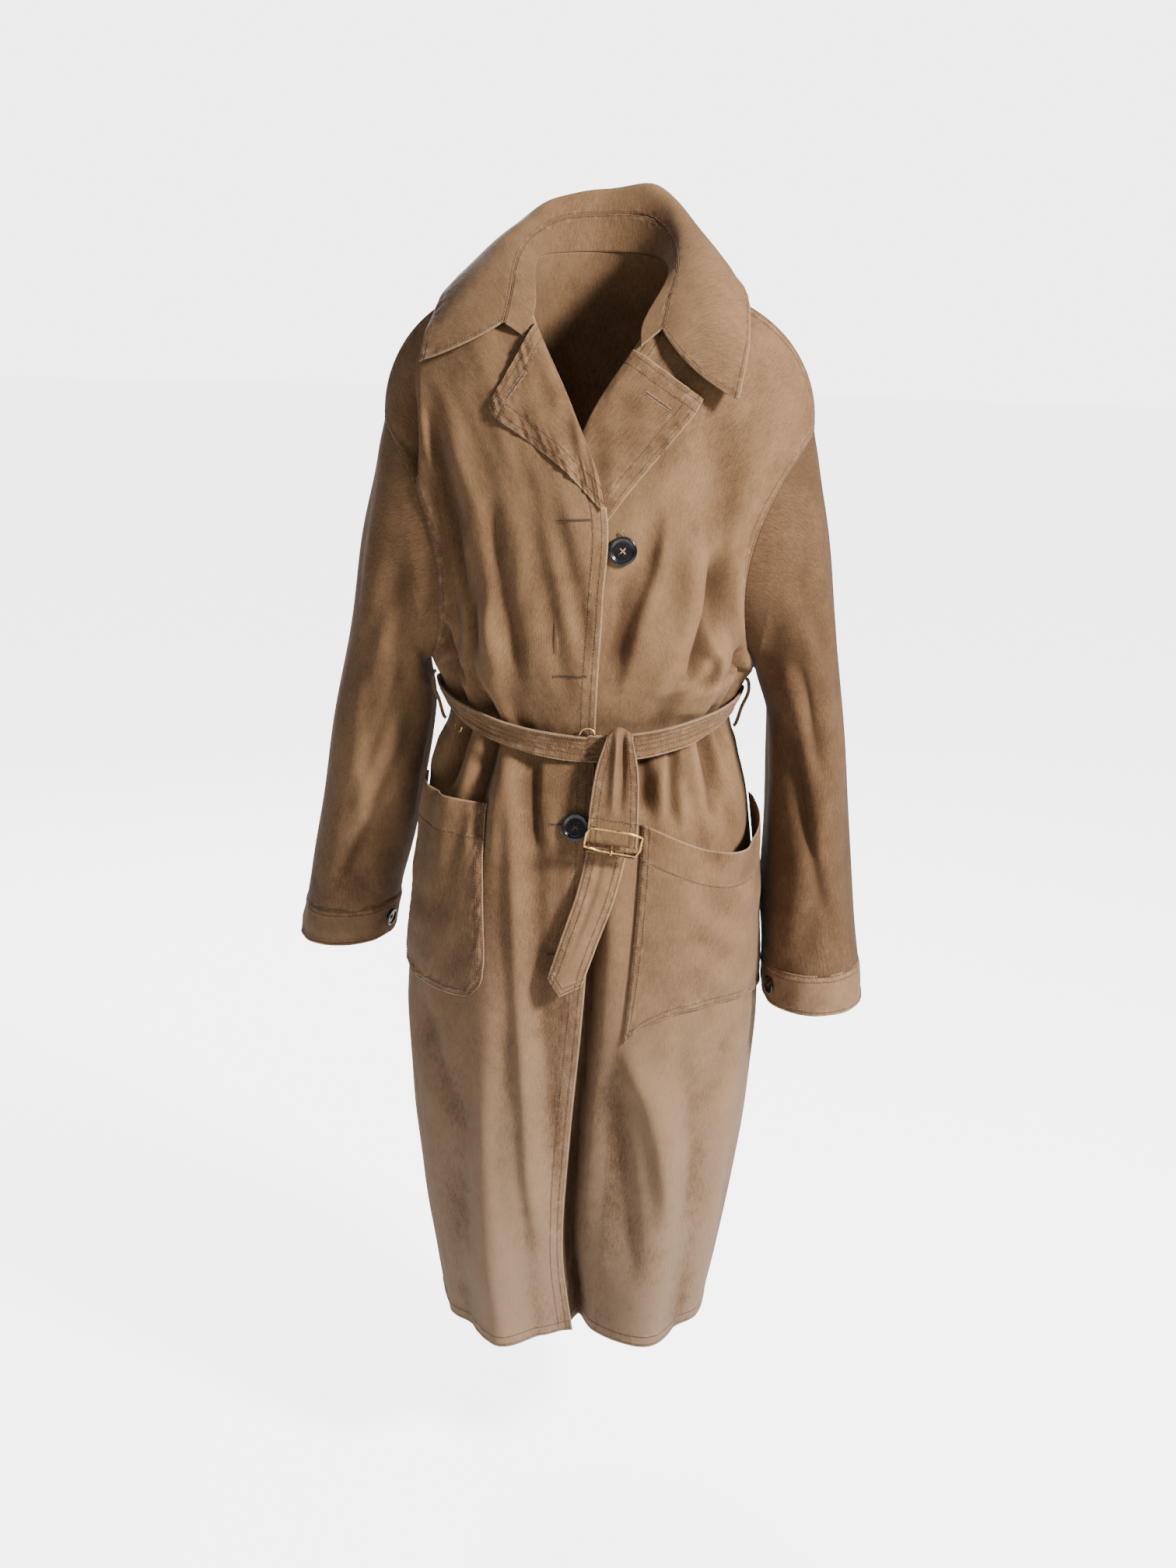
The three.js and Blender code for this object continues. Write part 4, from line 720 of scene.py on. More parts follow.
BACK_CREASES = (
    Crease("blade fold right", 7, 12, 0.3, 0.3, ((-168, -90), (-160, -190), (-140, -300), (-112, -425))),
    Crease("blade fold left", 8, 13, -0.3, 0.3, ((166, -96), (157, -200), (133, -310), (104, -428))),
    Crease("blade ridge right", -4, 16, 0, 0, ((-128, -170), (-112, -290), (-84, -420))),
    Crease("blade ridge left", -4, 15, 0, 0, ((118, -180), (104, -300), (72, -424))),
    Crease("inner streak right", 4, 12, 0.2, 0.3, ((-86, -190), (-66, -310), (-46, -430))),
    Crease("inner streak left", 4, 12, -0.2, 0.3, ((72, -200), (56, -310), (36, -432))),
    Crease("centre streak", 3, 11, 0.2, 0.3, ((-12, -240), (-6, -340), (2, -434))),
    Crease("waist pleat far right", 6, 7, 0.3, 0.4, ((-126, -448), (-138, -510), (-150, -560))),
    Crease("waist pleat right", 6, 7, -0.3, 0.4, ((-84, -466), (-90, -520), (-92, -590))),
    Crease("waist pleat middle", 5, 8, 0.3, 0.4, ((-8, -482), (-2, -540), (4, -620))),
    Crease("waist pleat left", 6, 7, 0.3, 0.4, ((76, -468), (82, -530), (88, -600))),
    Crease("waist pleat far left", 5, 7, -0.3, 0.4, ((122, -450), (134, -510), (146, -552))),
    Crease("skirt ridge right", -6, 18, -0.3, 0, ((-104, -600), (-112, -800), (-108, -1050))),
    Crease("skirt hollow right", 6, 18, 0.3, 0, ((-70, -640), (-74, -840), (-70, -1080))),
    Crease("skirt ridge middle", -6, 17, 0.3, 0, ((-28, -660), (-32, -860), (-34, -1080))),
    Crease("skirt hollow left", 6, 19, -0.3, 0, ((38, -620), (46, -840), (50, -1090))),
    Crease("skirt ridge left", -6, 18, 0.2, 0, ((98, -600), (112, -820), (110, -1060))),
    Crease("hip drag", 3, 12, 0, 0.3, ((160, -740), (138, -820), (118, -880))),
)
SLEEVE_CREASES_RIGHT = Table("from to s0 s1 depth width peak", (
    (0.7, 4.2, 96, 40, 7, 11, 0.4),
    (1.8, 5.2, 128, 66, 6, 9, 0.5),
    (3.4, 6.3, 140, 74, 5, 9, 0.5),
    (4.6, 6.9, 118, 60, 4, 8, 0.5),
    (2.6, 5.6, 40, 96, -3, 10, 0.5),
    (0.5, 3.0, 20, 36, 4, 14, 0.5),
    (1.0, 4.8, 250, 312, 7, 11, 0.4),
    (2.6, 6.0, 220, 286, 6, 10, 0.5),
    (4.2, 6.8, 240, 300, 5, 9, 0.5),
    (1.4, 5.8, 186, 168, 5, 12, 0.5),
))
SLEEVE_CREASES_LEFT = Table("from to s0 s1 depth width peak", (
    (0.6, 4.0, 90, 34, 7, 11, 0.42),
    (1.6, 4.9, 122, 58, 6, 9, 0.5),
    (3.0, 5.9, 134, 80, 6, 9, 0.5),
    (4.3, 6.8, 110, 52, 4, 8, 0.5),
    (2.2, 5.4, 36, 88, -3, 10, 0.5),
    (0.5, 2.8, 16, 30, 4, 14, 0.5),
    (1.2, 5.0, 258, 318, 7, 11, 0.42),
    (2.9, 6.2, 226, 290, 6, 10, 0.5),
    (4.4, 6.9, 246, 304, 5, 9, 0.5),
    (1.5, 6.0, 190, 172, 5, 12, 0.5),
))


@dataclass
class Cloth:
    """A grid of points of a piece's outer face, with what its finish and its stitches need."""

    grid: Array
    out: Array
    wrap: bool = False
    left: Array = field(init=False)
    right: Array = field(init=False)
    top: Array = field(init=False)
    bottom: Array = field(init=False)
    flat: Array = field(init=False)

    def __post_init__(self) -> None:
        """Measures how far each point lies from the four edges, along the cloth, and where it
        lies on the flat cloth, in metres."""
        across_steps = np.linalg.norm(np.diff(self.grid, axis=1), axis=-1)
        down_steps = np.linalg.norm(np.diff(self.grid, axis=0), axis=-1)
        self.left = np.pad(np.cumsum(across_steps, 1), ((0, 0), (1, 0)))
        self.right = self.left[:, -1:] - self.left
        self.top = np.pad(np.cumsum(down_steps, 0), ((1, 0), (0, 0)))
        self.bottom = self.top[-1:] - self.top
        self.flat = np.stack([self.left - self.left[:, -1:] / 2, -self.top], -1) * MM

    def line(self, edge: Edge, offset: float, start: float = 0, stop: float = 1) -> tuple:
        """A line on the cloth at one distance from an edge.

        Each row (or column) is cut where its distance from the edge passes the offset, by linear
        interpolation between the two points on either side.

        Args:
            edge: The edge.
            offset: The distance, in millimetres.
            start, stop: The stretch of the edge, as shares of it.

        Returns:
            The line's points and their outward directions.
        """
        away, grid, out = getattr(self, edge.value), self.grid, self.out
        if edge in (Edge.TOP, Edge.BOTTOM):
            away, grid, out = away.T, grid.transpose(1, 0, 2), out.transpose(1, 0, 2)
        if edge in (Edge.RIGHT, Edge.BOTTOM):
            away, grid, out = away[:, ::-1], grid[:, ::-1], out[:, ::-1]
        first, last = int(start * (len(away) - 1)), int(round(stop * (len(away) - 1))) + 1
        away, grid, out = away[first:last], grid[first:last], out[first:last]
        k = np.clip((away < offset).sum(axis=1), 1, away.shape[1] - 1)
        i = np.arange(len(away))
        share = ((offset - away[i, k - 1]) / np.maximum(away[i, k] - away[i, k - 1], 1e-6))[:, None]
        share = np.clip(share, 0, 1)
        place = grid[i, k - 1] * (1 - share) + grid[i, k] * share
        return place, unit(out[i, k - 1] * (1 - share) + out[i, k] * share)


def grid_normals(grid: Array, outward: Array, wrap: bool) -> Array:
    """Unit normals of a grid by central differences, turned to the side of the outward hint."""
    if wrap:
        along = np.roll(grid, -1, 1) - np.roll(grid, 1, 1)
    else:
        along = np.gradient(grid, axis=1)
    normal = unit(np.cross(along, np.gradient(grid, axis=0)))
    return normal * np.where((normal * outward).sum(-1, keepdims=True) < 0, -1, 1)


def shell_faces(rows: int, cols: int, wrap: bool) -> Array:
    """The quads of a wall between two grids, closed at its rims.

    The outer layer's quads, the inner layer's the other way round, and one quad for each step
    along each free edge.
    """
    wide = cols if wrap else cols - 1
    i, j = np.meshgrid(np.arange(rows - 1), np.arange(wide), indexing="ij")

    def at(layer: int, row: Array, col: Array) -> Array:
        """The number of a point."""
        return layer * rows * cols + row * cols + col % cols

    def quads(a: Array, b: Array, c: Array, d: Array) -> Array:
        """Four corners to a face."""
        return np.stack(np.broadcast_arrays(a, b, c, d), -1).reshape(-1, 4)

    faces = [
        quads(at(0, i, j), at(0, i, j + 1), at(0, i + 1, j + 1), at(0, i + 1, j)),
        quads(at(1, i, j), at(1, i + 1, j), at(1, i + 1, j + 1), at(1, i, j + 1)),
    ]
    k, last = np.arange(wide), rows - 1
    faces.append(quads(at(0, 0, k), at(1, 0, k), at(1, 0, k + 1), at(0, 0, k + 1)))
    faces.append(quads(at(0, last, k), at(0, last, k + 1), at(1, last, k + 1), at(1, last, k)))
    if not wrap:
        k, last = np.arange(rows - 1), cols - 1
        faces.append(quads(at(0, k, 0), at(0, k + 1, 0), at(1, k + 1, 0), at(1, k, 0)))
        faces.append(quads(at(0, k, last), at(1, k, last), at(1, k + 1, last), at(0, k + 1, last)))
    return np.concatenate(faces)


def mesh_object(name: str, vertices: Array, faces: tuple, material: bpy.types.Material,
                uv: Array | None = None, values: dict | None = None) -> bpy.types.Object:
    """A mesh object from arrays, its faces turned out.

    The enclosed volume is a sixth of the sum over triangles of the first corner times the cross
    product of the other two; where it is negative the faces are reversed.

    Args:
        name: The object's name.
        vertices: Points in millimetres.
        faces: Arrays of faces, those of one array with as many corners as each other.
        material: Its finish.
        uv: A place on the cloth for each point, in metres.
        values: Attributes by name, one number for each point.
    """
    volume = 0.0
    for part in faces:
        for k in range(2, part.shape[1]):
            a, b, c = (vertices[part[:, n]] for n in (0, k - 1, k))
            volume += (a * np.cross(b, c)).sum()
    if volume < 0:
        faces = tuple(part[:, ::-1] for part in faces)
    corners = np.concatenate([part.ravel() for part in faces])
    sizes = np.concatenate([np.full(len(part), part.shape[1]) for part in faces])
    starts = np.r_[0, np.cumsum(sizes)[:-1]]
    mesh = bpy.data.meshes.new(name)
    mesh.vertices.add(len(vertices))
    mesh.vertices.foreach_set("co", (vertices * MM).astype(np.float32).ravel())
    mesh.loops.add(len(corners))
    mesh.loops.foreach_set("vertex_index", corners.astype(np.int32))
    mesh.polygons.add(len(starts))
    mesh.polygons.foreach_set("loop_start", starts.astype(np.int32))
    mesh.update(calc_edges=True)
    mesh.validate()
    mesh.shade_smooth()
    if uv is not None:
        layer = mesh.uv_layers.new(name="cloth")
        layer.data.foreach_set("uv", uv[corners].astype(np.float32).ravel())
    for key, value in (values or {}).items():
        attribute = mesh.attributes.new(key, "FLOAT", "POINT")
        attribute.data.foreach_set("value", value.astype(np.float32).ravel())
    mesh.materials.append(material)
    made = bpy.data.objects.new(name, mesh)
    bpy.context.scene.collection.objects.link(made)
    return made


def relief(grid: Array, normal: Array, reach: int) -> Array:
    """How far each point stands out of its surroundings: the distance along its normal from the
    mean of the points that lie reach steps away, in millimetres."""
    mean = np.zeros_like(grid)
    for axis in (0, 1):
        for shift in (-reach, reach):
            rolled = np.roll(grid, shift, axis)
            index = [slice(None)] * 3
            index[axis] = slice(0, reach) if shift > 0 else slice(-reach, None)
            rolled[tuple(index)] = grid[tuple(index)]
            mean += rolled / 4
    return ((grid - mean) * normal).sum(-1)


class Seamstress:
    """Turns cloth into finished pieces and sews their visible stitches."""

    def __init__(self, body: str) -> None:
        """Keeps the body that every piece rides on.

        Args:
            body: The frame's body for the coat.
        """
        self.body = body
        self.stitches: list = []

    def panel(self, name: str, cloth: Cloth, material: bpy.types.Material, thickness: float,
              nodes: tuple, edges: tuple) -> bpy.types.Object:
        """A thin wall inwards from the cloth's outer face, standing for CAD nodes.

        Args:
            name: The piece's name.
            cloth: Its outer face.
            material: Its finish.
            thickness: The wall, in millimetres.
            nodes: The CAD nodes that it replaces.
            edges: The edges that are finished, whose distance wears the cloth.
        """
        grid, out = cloth.grid, cloth.out
        rows, cols = grid.shape[:2]
        inner = grid - out * thickness
        faces = shell_faces(rows, cols, cloth.wrap)
        near = np.full((rows, cols), FAR)
        for edge in edges:
            near = np.minimum(near, getattr(cloth, edge.value))
        values = {
            "edge": near * MM,
            "left": cloth.left * MM,
            "right": cloth.right * MM,
            "top": cloth.top * MM,
            "bottom": cloth.bottom * MM,
            # Painted shade and painted light: relief and deep say how far each point stands out of or sinks
            # into its surroundings, and the cloth darkens in hollows and pales on ridges by them.
            "relief": np.tanh(relief(grid, out, 6) / 6 + relief(grid, out, 14) / 9),
            "deep": step(-relief(grid, out, 6), 2.5, 9.0),
        }
        double = {key: np.tile(value.ravel(), 2) for key, value in values.items()}
        vertices = np.concatenate([grid.reshape(-1, 3), inner.reshape(-1, 3)])
        made = mesh_object(name, vertices, (faces,), material,
                           np.tile(cloth.flat.reshape(-1, 2), (2, 1)), double)
        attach(made, self.body)
        if nodes:
            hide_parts(*nodes)
        LOG.info("%s: %d faces", name, len(faces))
        return made

    def sew(self, line: tuple, pitch: float = 3.2, wide: float = 0.5) -> None:
        """A row of stitches along a line on the cloth.

        The line's arc length is cut at even steps; each stitch fills three quarters of a step.

        Args:
            line: Points and outward directions.
            pitch: From one stitch to the next, in millimetres.
            wide: The thread's width.
        """
        place, out = line
        run = np.r_[0, np.cumsum(np.linalg.norm(np.diff(place, axis=0), axis=1))]
        starts = np.arange(0.4 * pitch, run[-1] - pitch, pitch)
        if len(starts) < 2:
            return
        def along(at: Array, what: Array) -> Array:
            """The line's values at one distance along it."""
            return np.stack([np.interp(at, run, what[:, k]) for k in range(3)], -1)
        self.stitches.append((along(starts, place), along(starts + 0.76 * pitch, place),
                              unit(along(starts + 0.38 * pitch, out)), wide))

    def finish(self, name: str, material: bpy.types.Material) -> bpy.types.Object:
        """Makes one mesh of all stitches sewn since the last call.

        Each stitch is a low bead of ten points: a tip at each end, sunk a little, and two
        rings of four between them at a quarter and three quarters of its length.

        Args:
            name: The piece's name.
            material: The thread.
        """
        start = np.concatenate([s[0] for s in self.stitches])
        end = np.concatenate([s[1] for s in self.stitches])
        up = np.concatenate([s[2] for s in self.stitches])
        wide = np.concatenate([np.full(len(s[0]), s[3]) for s in self.stitches])[:, None]
        along = unit(end - start)
        side = unit(np.cross(along, up))
        rings = []
        for share in (0.22, 0.78):
            middle = start + (end - start) * share + up * 0.12
            rings += [middle + side * wide / 2, middle + up * wide * 0.55,
                      middle - side * wide / 2, middle - up * wide * 0.35]
        vertices = np.stack([start - up * 0.12, *rings, end - up * 0.12], 1)
        tips = [(0, 1 + k, 1 + (k + 1) % 4) for k in range(4)]
        tips += [(9, 5 + (k + 1) % 4, 5 + k) for k in range(4)]
        sides = [(1 + k, 5 + k, 5 + (k + 1) % 4) for k in range(4)]
        sides += [(1 + k, 5 + (k + 1) % 4, 1 + (k + 1) % 4) for k in range(4)]
        pattern = np.array(tips + sides)
        faces = (np.arange(len(start))[:, None, None] * 10 + pattern).reshape(-1, 3)
        made = mesh_object(name, vertices.reshape(-1, 3), (faces,), material)
        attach(made, self.body)
        self.stitches = []
        LOG.info("%s: %d stitches", name, len(start))
        return made


def tube(name: str, path: Array, radius: Array, sides: int, material: bpy.types.Material,
         body: str, nodes: tuple = (), closed: bool = False) -> bpy.types.Object:
    """A round rod along a path.

    At each point a circle lies across the path's direction, its axes carried from the least
    aligned row axis; open ends are closed by drawing the last ring in to a point.

    Args:
        name: The piece's name.
        path: Points in millimetres.
        radius: One radius, or one for each point.
        sides: Points round it.
        material, body, nodes: Its finish, its body and the nodes it replaces.
        closed: Whether the path meets itself.
    """
    if closed:
        direction = unit(np.roll(path, -1, 0) - np.roll(path, 1, 0))
    else:
        direction = unit(np.gradient(path, axis=0))
    steady = np.eye(3)[np.abs(direction).mean(0).argmin()]
    first = unit(np.cross(direction, steady))
    second = np.cross(direction, first)
    turn = np.linspace(0, 2 * math.pi, sides, endpoint=False)[None, :, None]
    reach = np.broadcast_to(radius, (len(path),))[:, None, None]
    rings = path[:, None] + reach * (first[:, None] * np.cos(turn) + second[:, None] * np.sin(turn))
    rows = len(path)
    i, j = np.meshgrid(np.arange(rows if closed else rows - 1), np.arange(sides), indexing="ij")
    after, beside = (i + 1) % rows, (j + 1) % sides
    faces = (np.stack([i * sides + j, after * sides + j, after * sides + beside,
                       i * sides + beside], -1).reshape(-1, 4),)
    vertices = rings.reshape(-1, 3)
    if not closed:
        k = np.arange(sides)
        ends = np.stack([path[0], path[-1]])
        vertices = np.concatenate([vertices, ends])
        tip, last = len(vertices) - 2, (rows - 1) * sides
        faces += (
            np.stack([np.full(sides, tip), k, (k + 1) % sides], -1),
            np.stack([np.full(sides, tip + 1), last + (k + 1) % sides, last + k], -1),
        )
    made = mesh_object(name, vertices, faces, material)
    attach(made, body)
    if nodes:
        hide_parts(*nodes)
    return made


class Graph:
    """A material's nodes, joined by short calls."""

    def __init__(self, name: str) -> None:
        """Starts a material with its own shader."""
        self.material = bpy.data.materials.new(name)
        self.material.use_nodes = True
        self.tree = self.material.node_tree
        self.shader = self.tree.nodes["Principled BSDF"]

    def node(self, kind: str, **settings: object) -> bpy.types.Node:
        """A new node with its settings."""
        made = self.tree.nodes.new(kind)
        for key, value in settings.items():
            setattr(made, key, value)
        return made

    def put(self, socket: Socket, value: Input) -> None:
        """A link from a socket, or a value on the socket itself."""
        if isinstance(value, bpy.types.NodeSocket):
            self.tree.links.new(value, socket)
        else:
            socket.default_value = value

    def math(self, operation: str, a: Input, b: Input = 0.0, c: Input = 0.0) -> Socket:
        """One sum of up to three inputs."""
        made = self.node("ShaderNodeMath", operation=operation)
        for socket, value in zip(made.inputs, (a, b, c)):
            self.put(socket, value)
        return made.outputs[0]

    def band(self, value: Input, low: float, high: float, from_low: float = 0.0,
             to_high: float = 1.0) -> Socket:
        """A smooth rise from one number at low to another at high."""
        made = self.node("ShaderNodeMapRange", interpolation_type="SMOOTHSTEP")
        for key, number in (("Value", value), ("From Min", low), ("From Max", high),
                            ("To Min", from_low), ("To Max", to_high)):
            self.put(made.inputs[key], number)
        return made.outputs["Result"]

    def mix(self, share: Input, a: Input, b: Input) -> Socket:
        """A mix of two colours by a share."""
        made = self.node("ShaderNodeMix", data_type="RGBA")
        self.put(made.inputs[0], share)
        self.put(made.inputs[6], a)
        self.put(made.inputs[7], b)
        return made.outputs[2]

    def attribute(self, name: str) -> Socket:
        """A number kept on the piece's points."""
        return self.node("ShaderNodeAttribute", attribute_name=name).outputs["Fac"]

    def noise(self, place: Socket, scale: float, detail: float = 2.0,
              rough: float = 0.5) -> Socket:
        """Noise at a place, about 0.5 on average."""
        made = self.node("ShaderNodeTexNoise")
        self.put(made.inputs["Vector"], place)
        made.inputs["Scale"].default_value = scale
        made.inputs["Detail"].default_value = detail
        made.inputs["Roughness"].default_value = rough
        return made.outputs["Fac"]

    def stretched(self, place: Socket, scale: tuple, turn: float = 0.0) -> Socket:
        """A place with its axes scaled and turned about Z."""
        scaled = self.node("ShaderNodeVectorMath", operation="MULTIPLY")
        self.put(scaled.inputs[0], place)
        scaled.inputs[1].default_value = scale
        made = self.node("ShaderNodeMapping")
        self.put(made.inputs["Vector"], scaled.outputs[0])
        made.inputs["Rotation"].default_value = (0, 0, turn)
        return made.outputs["Vector"]

    def bump(self, height: Socket, depth: float, before: Socket | None = None) -> Socket:
        """Relief of a height, as deep as said, over an earlier relief."""
        made = self.node("ShaderNodeBump")
        made.inputs["Strength"].default_value = 1.0
        made.inputs["Distance"].default_value = depth
        self.put(made.inputs["Height"], height)
        if before is not None:
            self.put(made.inputs["Normal"], before)
        return made.outputs["Normal"]


@dataclass(frozen=True)
class Gabardine:
    """Cotton gabardine: a fine steep twill, softly mottled, paler where edges rub, and puckered
    beside its rows of stitches. Painted shade darkens its hollows, its stitch grooves and, by the
    shade setting, whole pieces; painted light pales its ridges and the puckers by the stitches.
    It turns paler and greyer towards the hem."""

    light: tuple = (0.255, 0.146, 0.070, 1)
    dark: tuple = (0.080, 0.039, 0.016, 1)
    # The paler, greyer colour that the cloth turns towards the hem.
    hem_grey: tuple = (0.30, 0.215, 0.150, 1)
    # The colour of rubbed edges, and of the painted highlight on puckers beside stitches.
    pale: tuple = (0.50, 0.355, 0.225, 1)
    # The near-black of the painted shade in stitch grooves and deep hollows.
    line: tuple = (0.06, 0.026, 0.010, 1)
    # Darkens the whole piece: painted shade on the sleeves; below zero it makes a piece paler.
    shade: float = 0.0
    twill_per_m: float = 900
    rubbed_m: float = 0.0015
    broad_share: float = 0.9
    blotch_share: float = 0.5
    slub_share: float = 0.8
    # How much painted shade and painted light the relief gives: darker in hollows, paler on ridges.
    relief_shade_share: float = 0.24
    # How far deep hollows turn to the near-black of painted shade.
    hollow_shade_share: float = 0.8
    # How far stitch grooves turn to the near-black of painted shade.
    groove_shade_share: float = 0.62
    roughness: float = 0.82

    def make(self, name: str, rows: tuple = ()) -> bpy.types.Material:
        """Builds the material.

        Args:
            name: The material's name.
            rows: Rows of stitches, each (edge, distance from it in millimetres).

        Returns:
            The material.
        """
        g = Graph(name)
        place = g.node("ShaderNodeTexCoord").outputs["Object"]
        cloth = g.node("ShaderNodeUVMap", uv_map="cloth").outputs["UV"]
        broad = g.noise(place, 7, 3, 0.55)
        blotch = g.noise(place, 38, 3, 0.6)
        grain = g.noise(g.stretched(cloth, (1.0, 0.22, 1.0), 0.35), 1500, 2, 0.6)
        slub = g.noise(g.stretched(cloth, (1.0, 0.14, 1.0)), 620, 2, 0.6)
        tone = g.math("ADD", g.math("MULTIPLY", broad, self.broad_share),
                      g.math("MULTIPLY", blotch, self.blotch_share))
        streak = g.math("SUBTRACT", slub, 0.5)
        tone = g.math("ADD", tone, g.math("MULTIPLY", streak, self.slub_share))
        tone = g.math("ADD", tone, g.math("SUBTRACT", grain, 0.5))
        # Painted shade and painted light: darker where the cloth sinks, paler where it stands out.
        raised = g.math("MULTIPLY", g.attribute("relief"), self.relief_shade_share)
        tone = g.math("ADD", tone, raised)
        tone = g.math("SUBTRACT", tone, self.shade)
        colour = g.mix(g.band(tone, 0.05, 1.45), self.dark, self.light)
        # Painted shade: deep hollows turn towards the near-black line colour.
        sunk = g.math("MULTIPLY", g.attribute("deep"), self.hollow_shade_share)
        colour = g.mix(sunk, colour, self.line)
        # Paler and greyer towards the hem, more where the cloth's tone is light, and not in deep hollows.
        height_above = g.node("ShaderNodeSeparateXYZ")
        g.put(height_above.inputs[0], place)
        low = g.band(height_above.outputs["Z"], -1.15, -0.5, 0.5, 0.0)
        low = g.math("MULTIPLY", low, g.math("SUBTRACT", 1.0, g.attribute("deep")))
        colour = g.mix(g.math("MULTIPLY", low, g.band(tone, 0.2, 0.9)), colour, self.hem_grey)

        edge = g.attribute("edge")
        frayed = g.math("MULTIPLY", g.noise(place, 160, 2), self.rubbed_m * 1.4)
        rubbed = g.band(g.math("SUBTRACT", edge, frayed), 0.0, self.rubbed_m * 0.6, 0.26, 0.0)
        colour = g.mix(rubbed, colour, self.pale)
        height = None
        pucker = g.noise(place, 105, 2, 0.55)
        # Each row of stitches: its groove is darkened as painted shade, and the raised puckers beside it are
        # lightened as painted highlight.
        for sewn_edge, offset in rows:
            beyond = g.math("SUBTRACT", g.attribute(sewn_edge.value), offset * MM)
            away = g.math("ABSOLUTE", beyond)
            groove = g.band(away, 0.0002, 0.0012, 1.0, 0.0)
            beside = g.band(away, 0.001, 0.007, 1.0, 0.0)
            uneven = g.math("MULTIPLY", beside, g.math("SUBTRACT", pucker, 0.5))
            colour = g.mix(g.math("MULTIPLY", groove, self.groove_shade_share), colour, self.line)
            lit = g.band(uneven, 0.0, 0.25, 0.0, 0.16)
            colour = g.mix(lit, colour, self.pale)
            dip = g.math("ADD", g.math("MULTIPLY", groove, -0.5), g.math("MULTIPLY", uneven, 2.6))
            height = dip if height is None else g.math("ADD", height, dip)

        crumple = g.math("ADD", g.noise(place, 26, 2, 0.4), g.math("MULTIPLY", blotch, 0.5))
        normal = g.bump(crumple, 0.0016)
        if height is not None:
            normal = g.bump(height, 0.0007, normal)
        twill = g.node("ShaderNodeTexWave", wave_type="BANDS", bands_direction="X",
                       wave_profile="SIN")
        g.put(twill.inputs["Vector"], g.stretched(cloth, (1.0, 1.0, 1.0), 0.42))
        twill.inputs["Scale"].default_value = self.twill_per_m / 6.2832
        twill.inputs["Distortion"].default_value = 0.6
        weave = g.math("ADD", g.math("MULTIPLY", twill.outputs["Fac"], 0.5), grain)
        normal = g.bump(weave, 0.00012, normal)
        g.put(g.shader.inputs["Base Color"], colour)
        g.put(g.shader.inputs["Normal"], normal)
        g.shader.inputs["Roughness"].default_value = self.roughness
        g.shader.inputs["Sheen Weight"].default_value = 0.08
        g.shader.inputs["Sheen Roughness"].default_value = 0.45
        g.shader.inputs["Specular IOR Level"].default_value = 0.2
        return g.material


@dataclass(frozen=True)
class Thread:
    """Twisted sewing thread."""

    colour: tuple = (0.19, 0.105, 0.052, 1)
    varied: float = 1.5

    def make(self, name: str) -> bpy.types.Material:
        """Builds the material: the colour varies from stitch to stitch."""
        g = Graph(name)
        place = g.node("ShaderNodeTexCoord").outputs["Object"]
        paler = tuple(min(1, v * self.varied) for v in self.colour[:3]) + (1,)
        share = g.band(g.noise(place, 380), 0.35, 0.62)
        g.put(g.shader.inputs["Base Color"], g.mix(share, self.colour, paler))
        g.put(g.shader.inputs["Normal"], g.bump(g.noise(place, 3000), 0.0002))
        g.shader.inputs["Roughness"].default_value = 0.7
        g.shader.inputs["Sheen Weight"].default_value = 0.2
        return g.material


@dataclass(frozen=True)
class PaleBrass:
    """Thin gold-coloured wire, dulled in spots."""

    colour: tuple = (0.83, 0.56, 0.20, 1)
    dull: tuple = (0.38, 0.22, 0.07, 1)

    def make(self, name: str) -> bpy.types.Material:
        """Builds the material."""
        g = Graph(name)
        place = g.node("ShaderNodeTexCoord").outputs["Object"]
        spots = g.band(g.noise(place, 260, 3), 0.5, 0.72)
        g.put(g.shader.inputs["Base Color"], g.mix(spots, self.colour, self.dull))
        g.put(g.shader.inputs["Roughness"], g.band(g.noise(place, 700), 0.3, 0.7, 0.2, 0.38))
        g.put(g.shader.inputs["Normal"], g.bump(g.noise(place, 900), 0.0001))
        g.shader.inputs["Metallic"].default_value = 1.0
        return g.material


@dataclass(frozen=True)
class BlackPolish:
    """Polished black plastic with faint brown clouds and fine scratches."""

    colour: tuple = (0.007, 0.0065, 0.008, 1)
    cloud: tuple = (0.03, 0.02, 0.016, 1)

    def make(self, name: str) -> bpy.types.Material:
        """Builds the material."""
        g = Graph(name)
        place = g.node("ShaderNodeTexCoord").outputs["Object"]
        clouds = g.band(g.noise(place, 120, 4), 0.5, 0.75)
        g.put(g.shader.inputs["Base Color"], g.mix(clouds, self.colour, self.cloud))
        g.put(g.shader.inputs["Roughness"], g.band(g.noise(place, 1500, 3), 0.3, 0.8, 0.12, 0.3))
        g.put(g.shader.inputs["Normal"], g.bump(g.noise(place, 500), 0.00008))
        g.shader.inputs["Coat Weight"].default_value = 0.5
        g.shader.inputs["Coat Roughness"].default_value = 0.08
        return g.material


